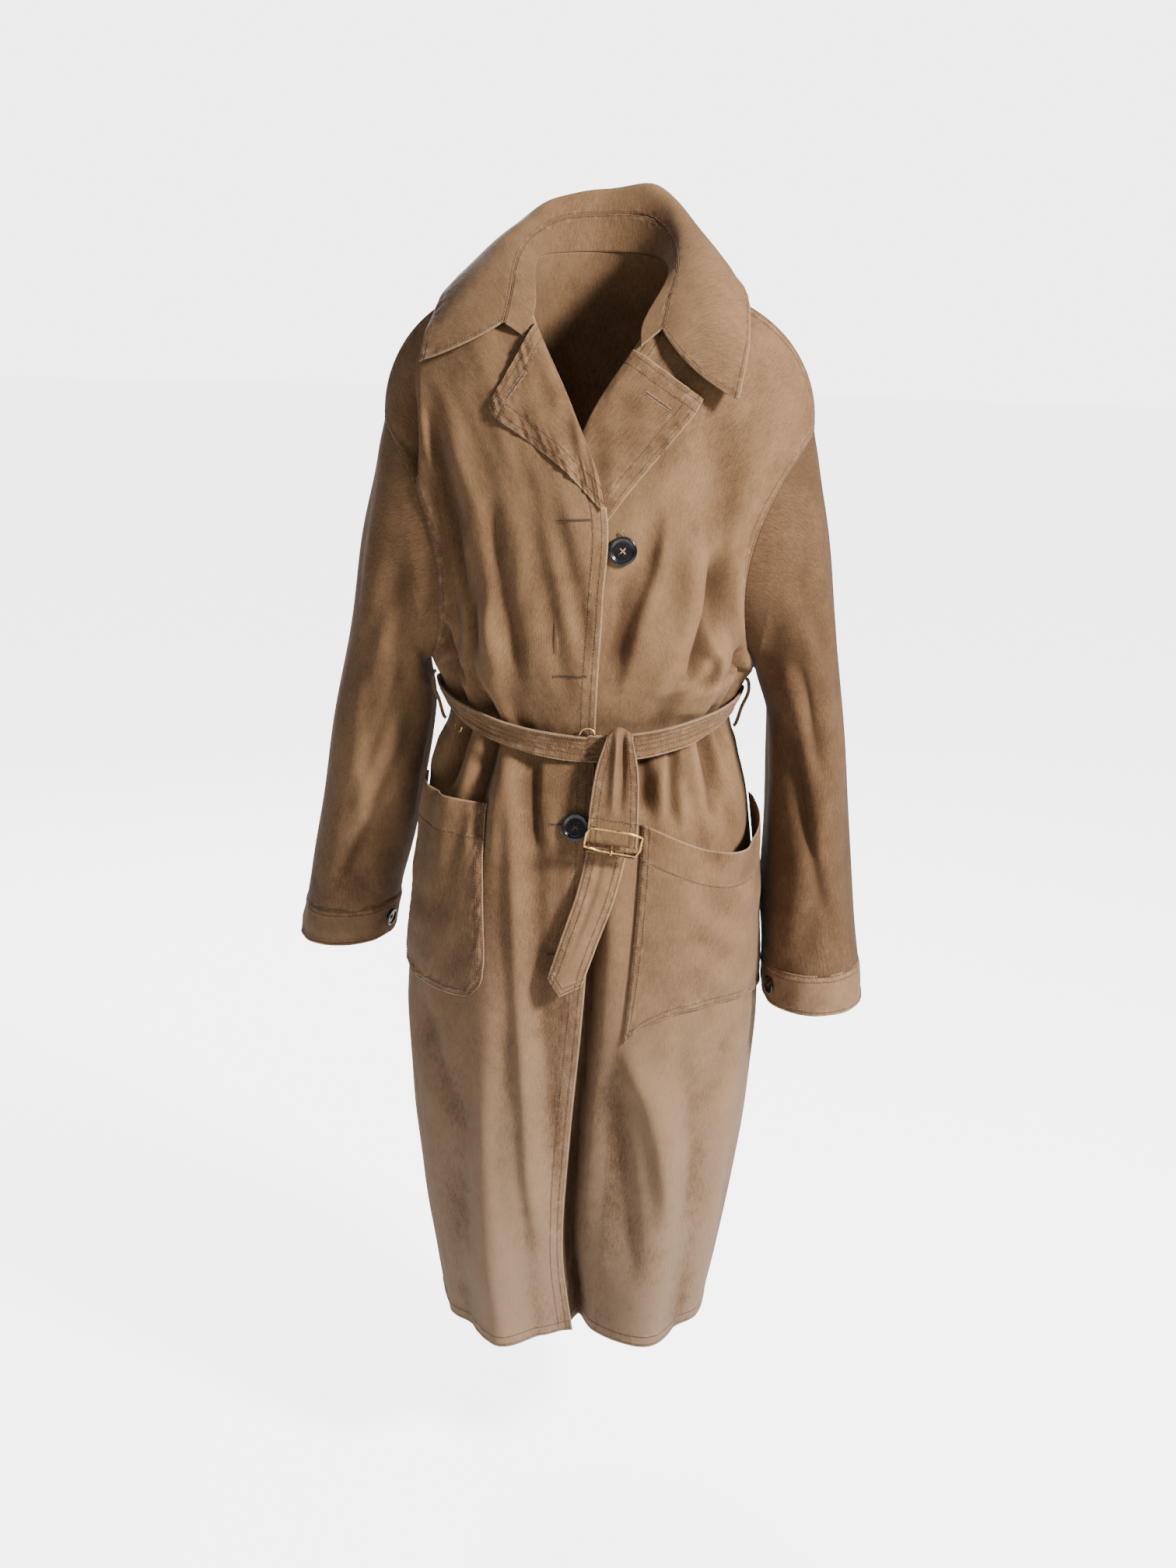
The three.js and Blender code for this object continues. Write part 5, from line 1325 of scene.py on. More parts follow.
@dataclass(frozen=True)
class Studio:
    """The photograph's viewing angle, a pale floor and soft light.

    The camera looks slightly down, and leans by a degree or two as the photographer held it.
    """

    eye: tuple = (0, -1.920, -0.059)
    pitch: float = 14.0
    roll: float = 1.55
    lens: float = 41.7
    floor_z: float = -1.34

    def camera(self) -> None:
        """The camera's axes: right and up turned by the roll, and back along its view."""
        pitch, roll = math.radians(self.pitch), math.radians(self.roll)
        up = np.array([0, math.sin(pitch), math.cos(pitch)])
        right = np.array([1.0, 0, 0])
        back = np.array([0, -math.cos(pitch), math.sin(pitch)])
        turned = right * math.cos(roll) + up * math.sin(roll)
        upright = up * math.cos(roll) - right * math.sin(roll)
        data = bpy.data.cameras.new("photograph")
        data.lens = self.lens
        data.sensor_width = 36
        data.clip_end = 100
        camera = bpy.data.objects.new("photograph", data)
        matrix = Matrix.Identity(4)
        for k, axis in enumerate((turned, upright, back)):
            for row in range(3):
                matrix[row][k] = axis[row]
        matrix.translation = self.eye
        camera.matrix_world = matrix
        bpy.context.scene.collection.objects.link(camera)
        bpy.context.scene.camera = camera

    def floor(self) -> None:
        """A wide pale floor of faint, soft mottle."""
        g = Graph("studio_floor")
        place = g.node("ShaderNodeTexCoord").outputs["Object"]
        g.put(g.shader.inputs["Base Color"],
              g.mix(g.noise(place, 1.2), (0.80, 0.80, 0.805, 1), (0.84, 0.84, 0.84, 1)))
        g.shader.inputs["Roughness"].default_value = 0.9
        g.shader.inputs["Emission Color"].default_value = (1, 1, 1, 1)
        seen = g.node("ShaderNodeLightPath").outputs["Is Camera Ray"]
        g.put(g.shader.inputs["Emission Strength"], g.math("MULTIPLY_ADD", seen, 4.0, 0.12))
        turn = np.linspace(0, 2 * math.pi, 97)[:-1]
        ring = points(np.cos(turn) * 40000, np.sin(turn) * 40000, self.floor_z / MM)
        centre = points(0.0, 0.0, self.floor_z / MM)[None]
        k = np.arange(96)
        faces = np.stack([k, (k + 1) % 96, np.full(96, 96)], -1)
        floor = mesh_object("studio_floor", np.concatenate([ring, centre]), (faces,), g.material)
        floor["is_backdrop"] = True

    def light(self, name: str, place: tuple, aim: tuple, size: float, power: float,
              colour: tuple) -> None:
        """A square soft light that faces a point."""
        data = bpy.data.lights.new(name, "AREA")
        data.size = size
        data.energy = power
        data.color = colour
        lamp = bpy.data.objects.new(name, data)
        back = unit(np.array(place, float) - np.array(aim, float))
        right = unit(np.cross([0, 0, 1.0], back))
        matrix = Matrix.Identity(4)
        for k, axis in enumerate((right, np.cross(back, right), back)):
            for row in range(3):
                matrix[row][k] = axis[row]
        matrix.translation = place
        lamp.matrix_world = matrix
        bpy.context.scene.collection.objects.link(lamp)

    def set_up(self) -> None:
        """The camera, the floor, the lights and a pale surround."""
        self.camera()
        self.floor()
        self.light("window", (2.15, -1.65, 1.15), (0, 0, -0.5), 0.5, 255, (1, 0.985, 0.96))
        self.light("fill", (-0.3, -2.6, 0.7), (0, 0, -0.5), 1.0, 7, (1, 1, 1))
        self.light("behind", (-0.9, 2.5, 0.9), (0, 0, -0.5), 0.8, 95, (1, 0.99, 0.97))
        self.light("top", (-0.6, 0.9, 2.0), (0, 0, -0.2), 1.2, 14, (0.97, 0.985, 1))
        self.surround()

    def surround(self) -> None:
        """A dim surround that lights the coat softly and shows pale behind it."""
        world = bpy.data.worlds.new("surround")
        bpy.context.scene.world = world
        world.use_nodes = True
        tree = world.node_tree
        seen = tree.nodes["Background"]
        seen.inputs["Color"].default_value = (0.985, 0.99, 1, 1)
        seen.inputs["Strength"].default_value = 4.6
        lit = tree.nodes.new("ShaderNodeBackground")
        lit.inputs["Color"].default_value = (0.93, 0.95, 1, 1)
        lit.inputs["Strength"].default_value = 0.16
        path = tree.nodes.new("ShaderNodeLightPath")
        mixed = tree.nodes.new("ShaderNodeMixShader")
        tree.links.new(path.outputs["Is Camera Ray"], mixed.inputs[0])
        tree.links.new(lit.outputs[0], mixed.inputs[1])
        tree.links.new(seen.outputs[0], mixed.inputs[2])
        tree.links.new(mixed.outputs[0], tree.nodes["World Output"].inputs[0])


@dataclass(frozen=True)
class Finishes:
    """The materials that every sub-assembly shares."""

    thread: bpy.types.Material
    pale_thread: bpy.types.Material
    brown_thread: bpy.types.Material
    brass: bpy.types.Material
    polish: bpy.types.Material
    # Near-black, for the painted shade in the buttonholes' slits.
    slit: bpy.types.Material

    @staticmethod
    def make() -> "Finishes":
        """Builds them."""
        return Finishes(
            Thread().make("thread"),
            Thread(colour=(0.13, 0.075, 0.038, 1), varied=3.6).make("pale_thread"),
            Thread(colour=(0.085, 0.045, 0.022, 1)).make("brown_thread"),
            PaleBrass().make("pale_brass"),
            BlackPolish().make("black_polish"),
            # Near-black, for the painted shade in the buttonholes' slits.
            Thread(colour=(0.03, 0.016, 0.01, 1)).make("slit_shade"),
        )


def gabardine(name: str, *rows: tuple, shade: float = 0.0) -> bpy.types.Material:
    """The coat's cloth with its rows of stitches, each (edge, millimetres from it)."""
    return Gabardine(shade=shade).make(name, rows)


def mask(cloth: Cloth, edge: Edge, keep: Array) -> None:
    """Puts an edge far away wherever it isn't to be stitched or worn.

    Args:
        cloth: The cloth.
        edge: The edge.
        keep: Where the edge counts.
    """
    setattr(cloth, edge.value, np.where(keep, getattr(cloth, edge.value), FAR))


@dataclass
class Body:
    """The two fronts, the back, the sleeves and their cuffs."""

    right: Front
    left: Front
    back: Back
    sleeves: tuple
    tailor: Seamstress
    finishes: Finishes
    front_columns: int = 84
    front_rows: int = 330

    def front(self, name: str, front: Front, flat: tuple, area: float) -> None:
        """One front, with its facing line, hem, armhole and shoulder stitches.

        Args:
            name: The CAD node.
            front: Its surface.
            flat: The cut's width and length, in metres; not used.
            area: The cut's area, in square metres; not used.
        """
        s = np.linspace(0, 1, self.front_columns)[None]
        t = np.linspace(0, HEM_ROW, self.front_rows)[:, None]
        grid = front.dressed(s, t)
        out = grid_normals(grid, front.normal(*np.broadcast_arrays(s, t)), False)
        cloth = Cloth(grid, out)
        seam = 1 - step(cloth.right, 9.0, 11.0)
        turned = 1 - step(cloth.bottom, 12.5, 14.5)
        above = t <= UNDERARM_ROW
        cloth.grid = grid + out * (0.8 * np.maximum(seam * above, turned))[..., None]
        mask(cloth, Edge.RIGHT, np.broadcast_to(above, cloth.right.shape))
        material = gabardine(name, (Edge.LEFT, 16), (Edge.LEFT, 7), (Edge.BOTTOM, 3), (Edge.BOTTOM, 12), (Edge.RIGHT, 2),
                             (Edge.RIGHT, 8), (Edge.TOP, 2), (Edge.TOP, 8))
        below = 3.1 / HEM_ROW
        for offset, start in ((16, below), (7, below), (1.8, below)):
            self.tailor.sew(cloth.line(Edge.LEFT, offset, start))
        for offset in (3, 12):
            self.tailor.sew(cloth.line(Edge.BOTTOM, offset))
        for offset in (2, 8):
            self.tailor.sew(cloth.line(Edge.RIGHT, offset, 0, UNDERARM_ROW / HEM_ROW - 0.01))
            self.tailor.sew(cloth.line(Edge.TOP, offset, 0.02, 0.98))
        made = self.tailor.panel(name, cloth, material, WALL, (name,),
                                 (Edge.LEFT, Edge.BOTTOM))
        sewn = self.tailor.finish(f"{name}_stitches", self.finishes.thread)

    def behind(self) -> None:
        """The back, with its hem."""
        s = np.linspace(-1, 1, 181)[None]
        t = np.linspace(0, HEM_ROW, 250)[:, None]
        grid = self.back.dressed(s, t)
        out = grid_normals(grid, self.back.normal(*np.broadcast_arrays(s, t)), False)
        cloth = Cloth(grid, out)
        turned = 1 - step(cloth.bottom, 12.5, 14.5)
        cloth.grid = grid + out * (0.8 * turned)[..., None]
        above = np.broadcast_to(t <= UNDERARM_ROW, cloth.right.shape)
        mask(cloth, Edge.LEFT, above)
        mask(cloth, Edge.RIGHT, above)
        material = gabardine("back", (Edge.BOTTOM, 3), (Edge.BOTTOM, 12), (Edge.LEFT, 2), (Edge.LEFT, 8),
                             (Edge.RIGHT, 2), (Edge.RIGHT, 8))
        for offset in (3, 12):
            self.tailor.sew(cloth.line(Edge.BOTTOM, offset))
        for edge in SIDES:
            for offset in (2, 8):
                self.tailor.sew(cloth.line(edge, offset, 0.01, UNDERARM_ROW / HEM_ROW - 0.01))
        made = self.tailor.panel("back", cloth, material, WALL, ("back",),
                                 (Edge.BOTTOM,))
        sewn = self.tailor.finish("back_stitches", self.finishes.thread)

    def sleeve(self, name: str, sleeve: Sleeve) -> None:
        """One sleeve, a closed tube with an opening at either end.

        Args:
            name: The CAD node.
            sleeve: Its surface.
        """
        a = np.linspace(0, 360, 129)[None, :-1]
        v = np.linspace(0, SLEEVE_ROWS, 120)[:, None]
        grid = sleeve.dressed(a, v)
        out = grid_normals(grid, sleeve.normal(*np.broadcast_arrays(a, v)), True)
        cloth = Cloth(grid, out, wrap=True)
        # Painted shade: each sleeve's cloth is darkened all over, the left one more.
        shade = 0.15 if sleeve.side < 0 else 0.55
        made = self.tailor.panel(name, cloth, gabardine(name, shade=shade), WALL, (name,), ())

    def cuff(self, name: str, sleeve: Sleeve) -> None:
        """One cuff band, sewn twice along its top and once near its lower edge.

        Args:
            name: The CAD node.
            sleeve: The sleeve that it ends.
        """
        a = np.linspace(0, 360, 129)[None, :-1]
        down = np.linspace(-2.5, CUFF_HEIGHT, 22)[:, None]
        ring = sleeve.ring(np.array(float(SLEEVE_ROWS)))
        grow = CUFF_STEP - 0.9 * (1 - step(down, 0, 3))
        wave = unevenness(a * 1.35, down * 2.0, sleeve.seed + 9, 70) * 0.7
        outer = Ring(ring.x, ring.y, ring.z, ring.lean + grow + wave, ring.high,
                     ring.deep + grow + wave, ring.bow)
        grid = outer.at(sleeve.side, a) + sleeve.along() * down[..., None]
        out = grid_normals(grid, sleeve.normal(*np.broadcast_arrays(a, 0 * down + 6.9)), True)
        cloth = Cloth(grid, out, wrap=True)
        for offset in (2.5, 8, 38.5):
            self.tailor.sew(cloth.line(Edge.TOP, offset))
        material = gabardine(name, (Edge.TOP, 2.5), (Edge.TOP, 8), (Edge.BOTTOM, 3.5))
        made = self.tailor.panel(name, cloth, material, WALL, (name,), (Edge.BOTTOM,))
        sewn = self.tailor.finish(f"{name}_stitches", self.finishes.thread)

    def build(self) -> None:
        """Builds every piece of the body."""
        self.front("front_right", self.right, (0.34, 1.2), 0.33)
        self.front("front_left", self.left, (0.36, 1.2), 0.35)
        self.behind()
        for sleeve in self.sleeves:
            side = "right" if sleeve.side < 0 else "left"
            self.sleeve(f"sleeve_{side}", sleeve)
            self.cuff(f"cuff_{side}", sleeve)


@dataclass
class Collar:
    """The stand round the neck and the fall that turns over it."""

    tailor: Seamstress
    finishes: Finishes

    def point(self, w: Array, u: Array) -> Array:
        """A point by its station round the neck: stand from 0 to 1, fall from 1 to 2.

        The stand runs straight up from just inside the neckline. The fall is a quadratic curve from
        the stand's top over the roll line, its middle, to its free edge.
        """
        w, u = np.broadcast_arrays(w, u)
        neck, stand = collar_line("neck", w), collar_line("stand", w)
        start = -STAND_LAP / np.linalg.norm(stand - neck, axis=-1)
        rise = (start + (1 - start) * np.clip(u, 0, 1))[..., None]
        edge = collar_line("edge", w)
        bend = 2 * collar_line("roll", w) - 0.5 * stand - 0.5 * edge
        k = np.clip(u - 1, 0, 1)[..., None]
        over = stand * (1 - k) ** 2 + bend * 2 * k * (1 - k) + edge * k**2
        return np.where((u <= 1)[..., None], neck + (stand - neck) * rise, over)

    def cloth(self, start: float, stop: float, rows: int, soft: float) -> Cloth:
        """The outer face of the stand or the fall.

        Args:
            start, stop: The shares of the collar that it covers.
            rows: Points from its lower to its free edge.
            soft: How uneven it lies, in millimetres.
        """
        w = np.linspace(-1, 1, 210)[None]
        u = np.linspace(start, stop, rows)[:, None]
        under = self.point(w, u)
        hint = np.cross(np.gradient(under, axis=1), np.gradient(under, axis=0))
        out = grid_normals(under, hint, False)
        uneven = unevenness(w * 260, u * 70, 31, 90) * soft * step(u, start, start + 0.3)
        pucker = unevenness(w * 260, u * 70, 47, 16) * 0.35 * step(u, stop - 0.35, stop)
        return Cloth(under + out * (WALL + uneven + pucker)[..., None], out)

    def build(self) -> None:
        """Both parts, with their stitches."""
        stand = self.cloth(0, 1, 16, 0.0)
        made = self.tailor.panel("collar_stand", stand, gabardine("collar_stand", (Edge.BOTTOM, 2)),
                                 WALL, ("collar_stand",), SIDES)
        fall = self.cloth(1, 2, 52, 0.8)
        for edge in SEWN_EDGES:
            self.tailor.sew(fall.line(edge, 5.5, 0.03, 0.97))
        self.tailor.sew(fall.line(Edge.TOP, 2.2), wide=0.6)
        material = gabardine("collar_fall", (Edge.LEFT, 5.5), (Edge.RIGHT, 5.5), (Edge.BOTTOM, 5.5),
                             (Edge.TOP, 2.2))
        made = self.tailor.panel("collar_fall", fall, material, WALL, ("collar_fall",),
                                 SEWN_EDGES)
        sewn = self.tailor.finish("collar_stitches", self.finishes.thread)


def locate(front: Front, x: Array, z: Array, s: Array, t: Array) -> tuple:
    """The places on a front that lie at (x, z) seen from the front, by Newton's method.

    Each of twelve rounds steps by the inverse of the two slopes' matrix times what is missing.

    Args:
        front: The surface.
        x, z: Where the places lie.
        s, t: First guesses.
    """
    s, t, x, z = (np.array(v, float) for v in np.broadcast_arrays(s, t, x, z))
    d = 0.002
    for _ in range(12):
        here = front.plain(s, t)
        ds = (front.plain(s + d, t) - here) / d
        dt = (front.plain(s, t + d) - here) / d
        det = ds[..., 0] * dt[..., 2] - ds[..., 2] * dt[..., 0]
        ex, ez = x - here[..., 0], z - here[..., 2]
        s = np.clip(s + (ex * dt[..., 2] - ez * dt[..., 0]) / det, 0, 1)
        t = np.clip(t + (ez * ds[..., 0] - ex * ds[..., 2]) / det, 0, HEM_ROW)
    return s, t


@dataclass
class Lapel:
    """A lapel turned back over its front along the roll line."""

    name: str
    front: Front
    table: Table
    tailor: Seamstress
    finishes: Finishes
    buttonhole: tuple

    def build(self) -> None:
        """The lapel, double-stitched and puckered along its edges."""
        v = np.linspace(0, 1, 96)[:, None]
        u = np.linspace(0, 1, 64)[None] ** 1.15
        roll_t = self.table.at("rollT", v)
        roll = self.front.plain(np.zeros_like(roll_t), roll_t)
        x = roll[..., 0] + (self.table.at("edgeX", v) - roll[..., 0]) * u
        z = roll[..., 2] + (self.table.at("edgeZ", v) - roll[..., 2]) * u
        s, t = locate(self.front, x, z, 0.02 + 0.3 * u, roll_t)
        normal = self.front.normal(s, t)
        plain = self.front.plain(s, t)
        stand = ((self.front.dressed(s, t) - plain) * normal).sum(-1)
        lift = LAPEL_LIFT + LAPEL_ROLL * (1 - v * v) * np.sin(math.pi * np.sqrt(u))
        lift = lift + np.where(stand > 0, stand, 0.4 * stand)
        first = Cloth(plain, normal)
        rim = np.minimum(np.minimum(first.right, first.top), first.bottom)
        near = 1 - step(rim, 14, 30)
        pucker = unevenness(first.left, first.top, 70 + self.front.seed, 17) * 0.5 * near
        lift = lift + (pucker + 1.3 * unevenness(first.left, first.top, 81, 62)) * step(u, 0, 0.1)
        grid = plain + normal * (lift + WALL)[..., None]
        cloth = Cloth(grid, grid_normals(grid, normal, False))
        for edge, stop in ((Edge.RIGHT, 1.0), (Edge.TOP, 0.94)):
            for offset in (6, 17):
                self.tailor.sew(cloth.line(edge, offset, 0.03, stop))
        material = gabardine(self.name, (Edge.RIGHT, 6), (Edge.RIGHT, 17), (Edge.TOP, 6), (Edge.TOP, 17))
        made = self.tailor.panel(self.name, cloth, material, WALL, (self.name,),
                                 (Edge.RIGHT, Edge.TOP, Edge.BOTTOM))
        (x0, z0), (x1, z1) = self.buttonhole
        along = np.linspace(0, 1, 24)
        flat = np.hypot(cloth.grid[..., 0][None] - (x0 + (x1 - x0) * along)[:, None, None],
                        cloth.grid[..., 2][None] - (z0 + (z1 - z0) * along)[:, None, None])
        nearest = flat.reshape(len(along), -1).argmin(1)
        place = points(x0 + (x1 - x0) * along, cloth.grid.reshape(-1, 3)[nearest, 1],
                       z0 + (z1 - z0) * along)
        place[:, 1] = np.convolve(np.pad(place[:, 1], 2, mode="edge"), np.ones(5) / 5, "valid")
        hole = Buttonhole(f"{self.name}_buttonhole", place, cloth.out.reshape(-1, 3)[nearest], 2.3)
        extra = hole.build(self.tailor, self.finishes.slit, self.finishes.pale_thread)
        sewn = self.tailor.finish(f"{self.name}_stitches", self.finishes.thread)


@dataclass
class Buttonhole:
    """A worked buttonhole: a dark tube of painted shade in its slit, between two dense rows of stitches, and
    a bar tack.
    """

    name: str
    place: Array
    out: Array
    half: float = 1.7

    def build(self, tailor: Seamstress, slit: bpy.types.Material,
              thread: bpy.types.Material) -> list:
        """Makes the slit and its stitches.

        Args:
            tailor: Sews them.
            slit: The finish of the slit's painted shade.
            thread: The stitches' finish.

        Returns:
            The two pieces.
        """
        lift = self.out * 0.25
        run = np.r_[0, np.cumsum(np.linalg.norm(np.diff(self.place, axis=0), axis=1))]
        wide = 0.38 * np.sin(math.pi * np.clip(run / run[-1], 0.02, 0.98)) ** 0.3
        # Painted shade: a near-black tube lies in the slit.
        made = tube(f"{self.name}_slit", self.place + lift * 0.4, wide, 8, slit, tailor.body)
        kept = tailor.stitches
        tailor.stitches = []
        at = np.arange(0.5, run[-1] - 0.5, 0.8)
        middle = np.stack([np.interp(at, run, self.place[:, k]) for k in range(3)], -1)
        up = unit(np.stack([np.interp(at, run, self.out[:, k]) for k in range(3)], -1))
        side = unit(np.cross(np.gradient(middle, axis=0), up))
        for way in (-1, 1):
            tailor.stitches.append((middle + side * way * 0.45 + up * 0.12,
                                    middle + side * way * self.half + up * 0.05, up, 0.62))
        first = np.linspace(-self.half, self.half, 5)[:, None]
        along = unit(middle[1] - middle[0])
        tack = middle[:1] + side[:1] * first - along * 1.2
        tailor.stitches.append((tack - along * 0.9, tack + along * 0.9, np.repeat(up[:1], 5, 0), 0.7))
        sewn = tailor.finish(f"{self.name}_edge", thread)
        tailor.stitches = kept
        return [made, sewn]


@dataclass
class Pocket:
    """A patch pocket, sewn at its sides and bottom and standing off at its mouth."""

    name: str
    front: Front
    inner: float
    inner_low: float
    outer: float
    mouth: float
    sag: float
    bottom: float
    gape: float
    swell: float
    spur: float
    droop: float
    tailor: Seamstress
    finishes: Finishes

    def build(self) -> None:
        """The pocket follows its front, lifted by its gape and swell, with a stitched facing."""
        v = np.linspace(0, 1, 84)[:, None]
        u = np.linspace(0, 1, 84)[None]
        inner = self.inner + (self.inner_low - self.inner) * v
        s = inner + (self.outer - inner) * u
        mouth = self.mouth + self.sag * np.sin(math.pi * u)
        low = self.bottom + self.spur * (1 - u) ** 9 + self.droop * u**2
        t = mouth + (low - mouth) * v
        if self.front.side < 0:
            t, s = self.round_corner(s, t, u, v)
        off = np.sin(math.pi * np.clip(u, 1e-6, 1 - 1e-6)) ** 0.7
        away = off * (1 - v**3) ** 0.8
        lift = 0.9 + away * (self.gape * (1 - v) ** 1.5 + self.swell * (1 - (1 - v) ** 1.5))
        normal = self.front.normal(s, t)
        flush = self.front.surface(s, t)
        stand = ((self.front.dressed(s, t) - flush) * normal).sum(-1)
        first = Cloth(flush, normal)
        rim = np.minimum(np.minimum(first.left, first.right), first.bottom)
        span = 1 - 0.6 * step(rim, 4, 30)
        under = flush + normal * np.where(stand > 0, stand, stand * span)[..., None]
        near = 1 - step(rim, 10, 24)
        pucker = unevenness(first.left, first.top, 90 + self.front.seed, 17) * 0.5 * near
        soft = unevenness(first.left, first.top, 95 + self.front.seed, 75) * 1.3 * off
        grid = under + normal * (lift + POCKET_WALL + pucker * step(rim, 0, 2) + soft)[..., None]
        cloth = Cloth(grid, grid_normals(grid, normal, False))
        seam = np.minimum(np.minimum(cloth.left, cloth.right), cloth.bottom)
        cloth.grid = cloth.grid + cloth.out * (0.5 * (1 - step(seam, 8.5, 10.5)))[..., None]
        for edge in SEWN_EDGES:
            for offset in (2, 8):
                self.tailor.sew(cloth.line(edge, offset, 0.01, 0.99))
        self.tailor.sew(cloth.line(Edge.TOP, 38, 0.02, 0.98))
        material = gabardine(self.name, (Edge.LEFT, 2), (Edge.LEFT, 8), (Edge.RIGHT, 2), (Edge.RIGHT, 8),
                             (Edge.BOTTOM, 2), (Edge.BOTTOM, 8), (Edge.TOP, 38))
        made = self.tailor.panel(self.name, cloth, material, POCKET_WALL, (self.name,),
                                 tuple(Edge))
        sewn = self.tailor.finish(f"{self.name}_stitches", self.finishes.thread)

    def round_corner(self, s: Array, t: Array, u: Array, v: Array) -> tuple:
        """Draws the inner bottom corner in: by a share of the squares of both distances."""
        near = (1 - u) ** 7 * v**9
        return t - 0.13 * near, s + 0.06 * near


def belt_point(turn: Array, t: Array, lift: Array) -> Array:
    """The belt's ring, a lift outside the panels at the waist.

    One quarter is a Bezier curve from the centre front or back to the side, its handles as long
    as the body's roundness says.

    Args:
        turn: From the centre front (0) over the left side (0.25) and all round.
        t: The body's row.
        lift: The distance from the body.
    """
    turn, t, lift = np.broadcast_arrays(np.mod(turn, 1.0), t, lift)
    quarter = np.minimum(np.floor(turn * 4), 3)
    share = turn * 4 - quarter
    front = (quarter == 0) | (quarter == 3)
    side = np.where(quarter < 2, 1, -1)
    s = np.where(quarter % 2 == 0, share, 1 - share)
    depth = np.where(front, BODY.at("front", t), BODY.at("back", t))
    half = BODY.at("half", t) + lift
    reach = depth + np.sign(depth) * lift
    rounding = BODY.at("round", t)
    front_z, side_z = BODY.at("frontZ", t), BODY.at("sideZ", t)
    return bezier(
        points(0, reach, front_z), points(side * rounding * half, reach, front_z),
        points(side * half, SEAM_Y + rounding * (reach - SEAM_Y), side_z),
        points(side * half, SEAM_Y, side_z), s,
    )


def belt_row(turn: Array) -> Array:
    """The body's row under the belt: it hangs low in front and rises to the sides and back."""
    return WAIST_ROW - 0.36 * (1 - np.maximum(np.cos(2 * math.pi * turn), 0) ** 1.2)


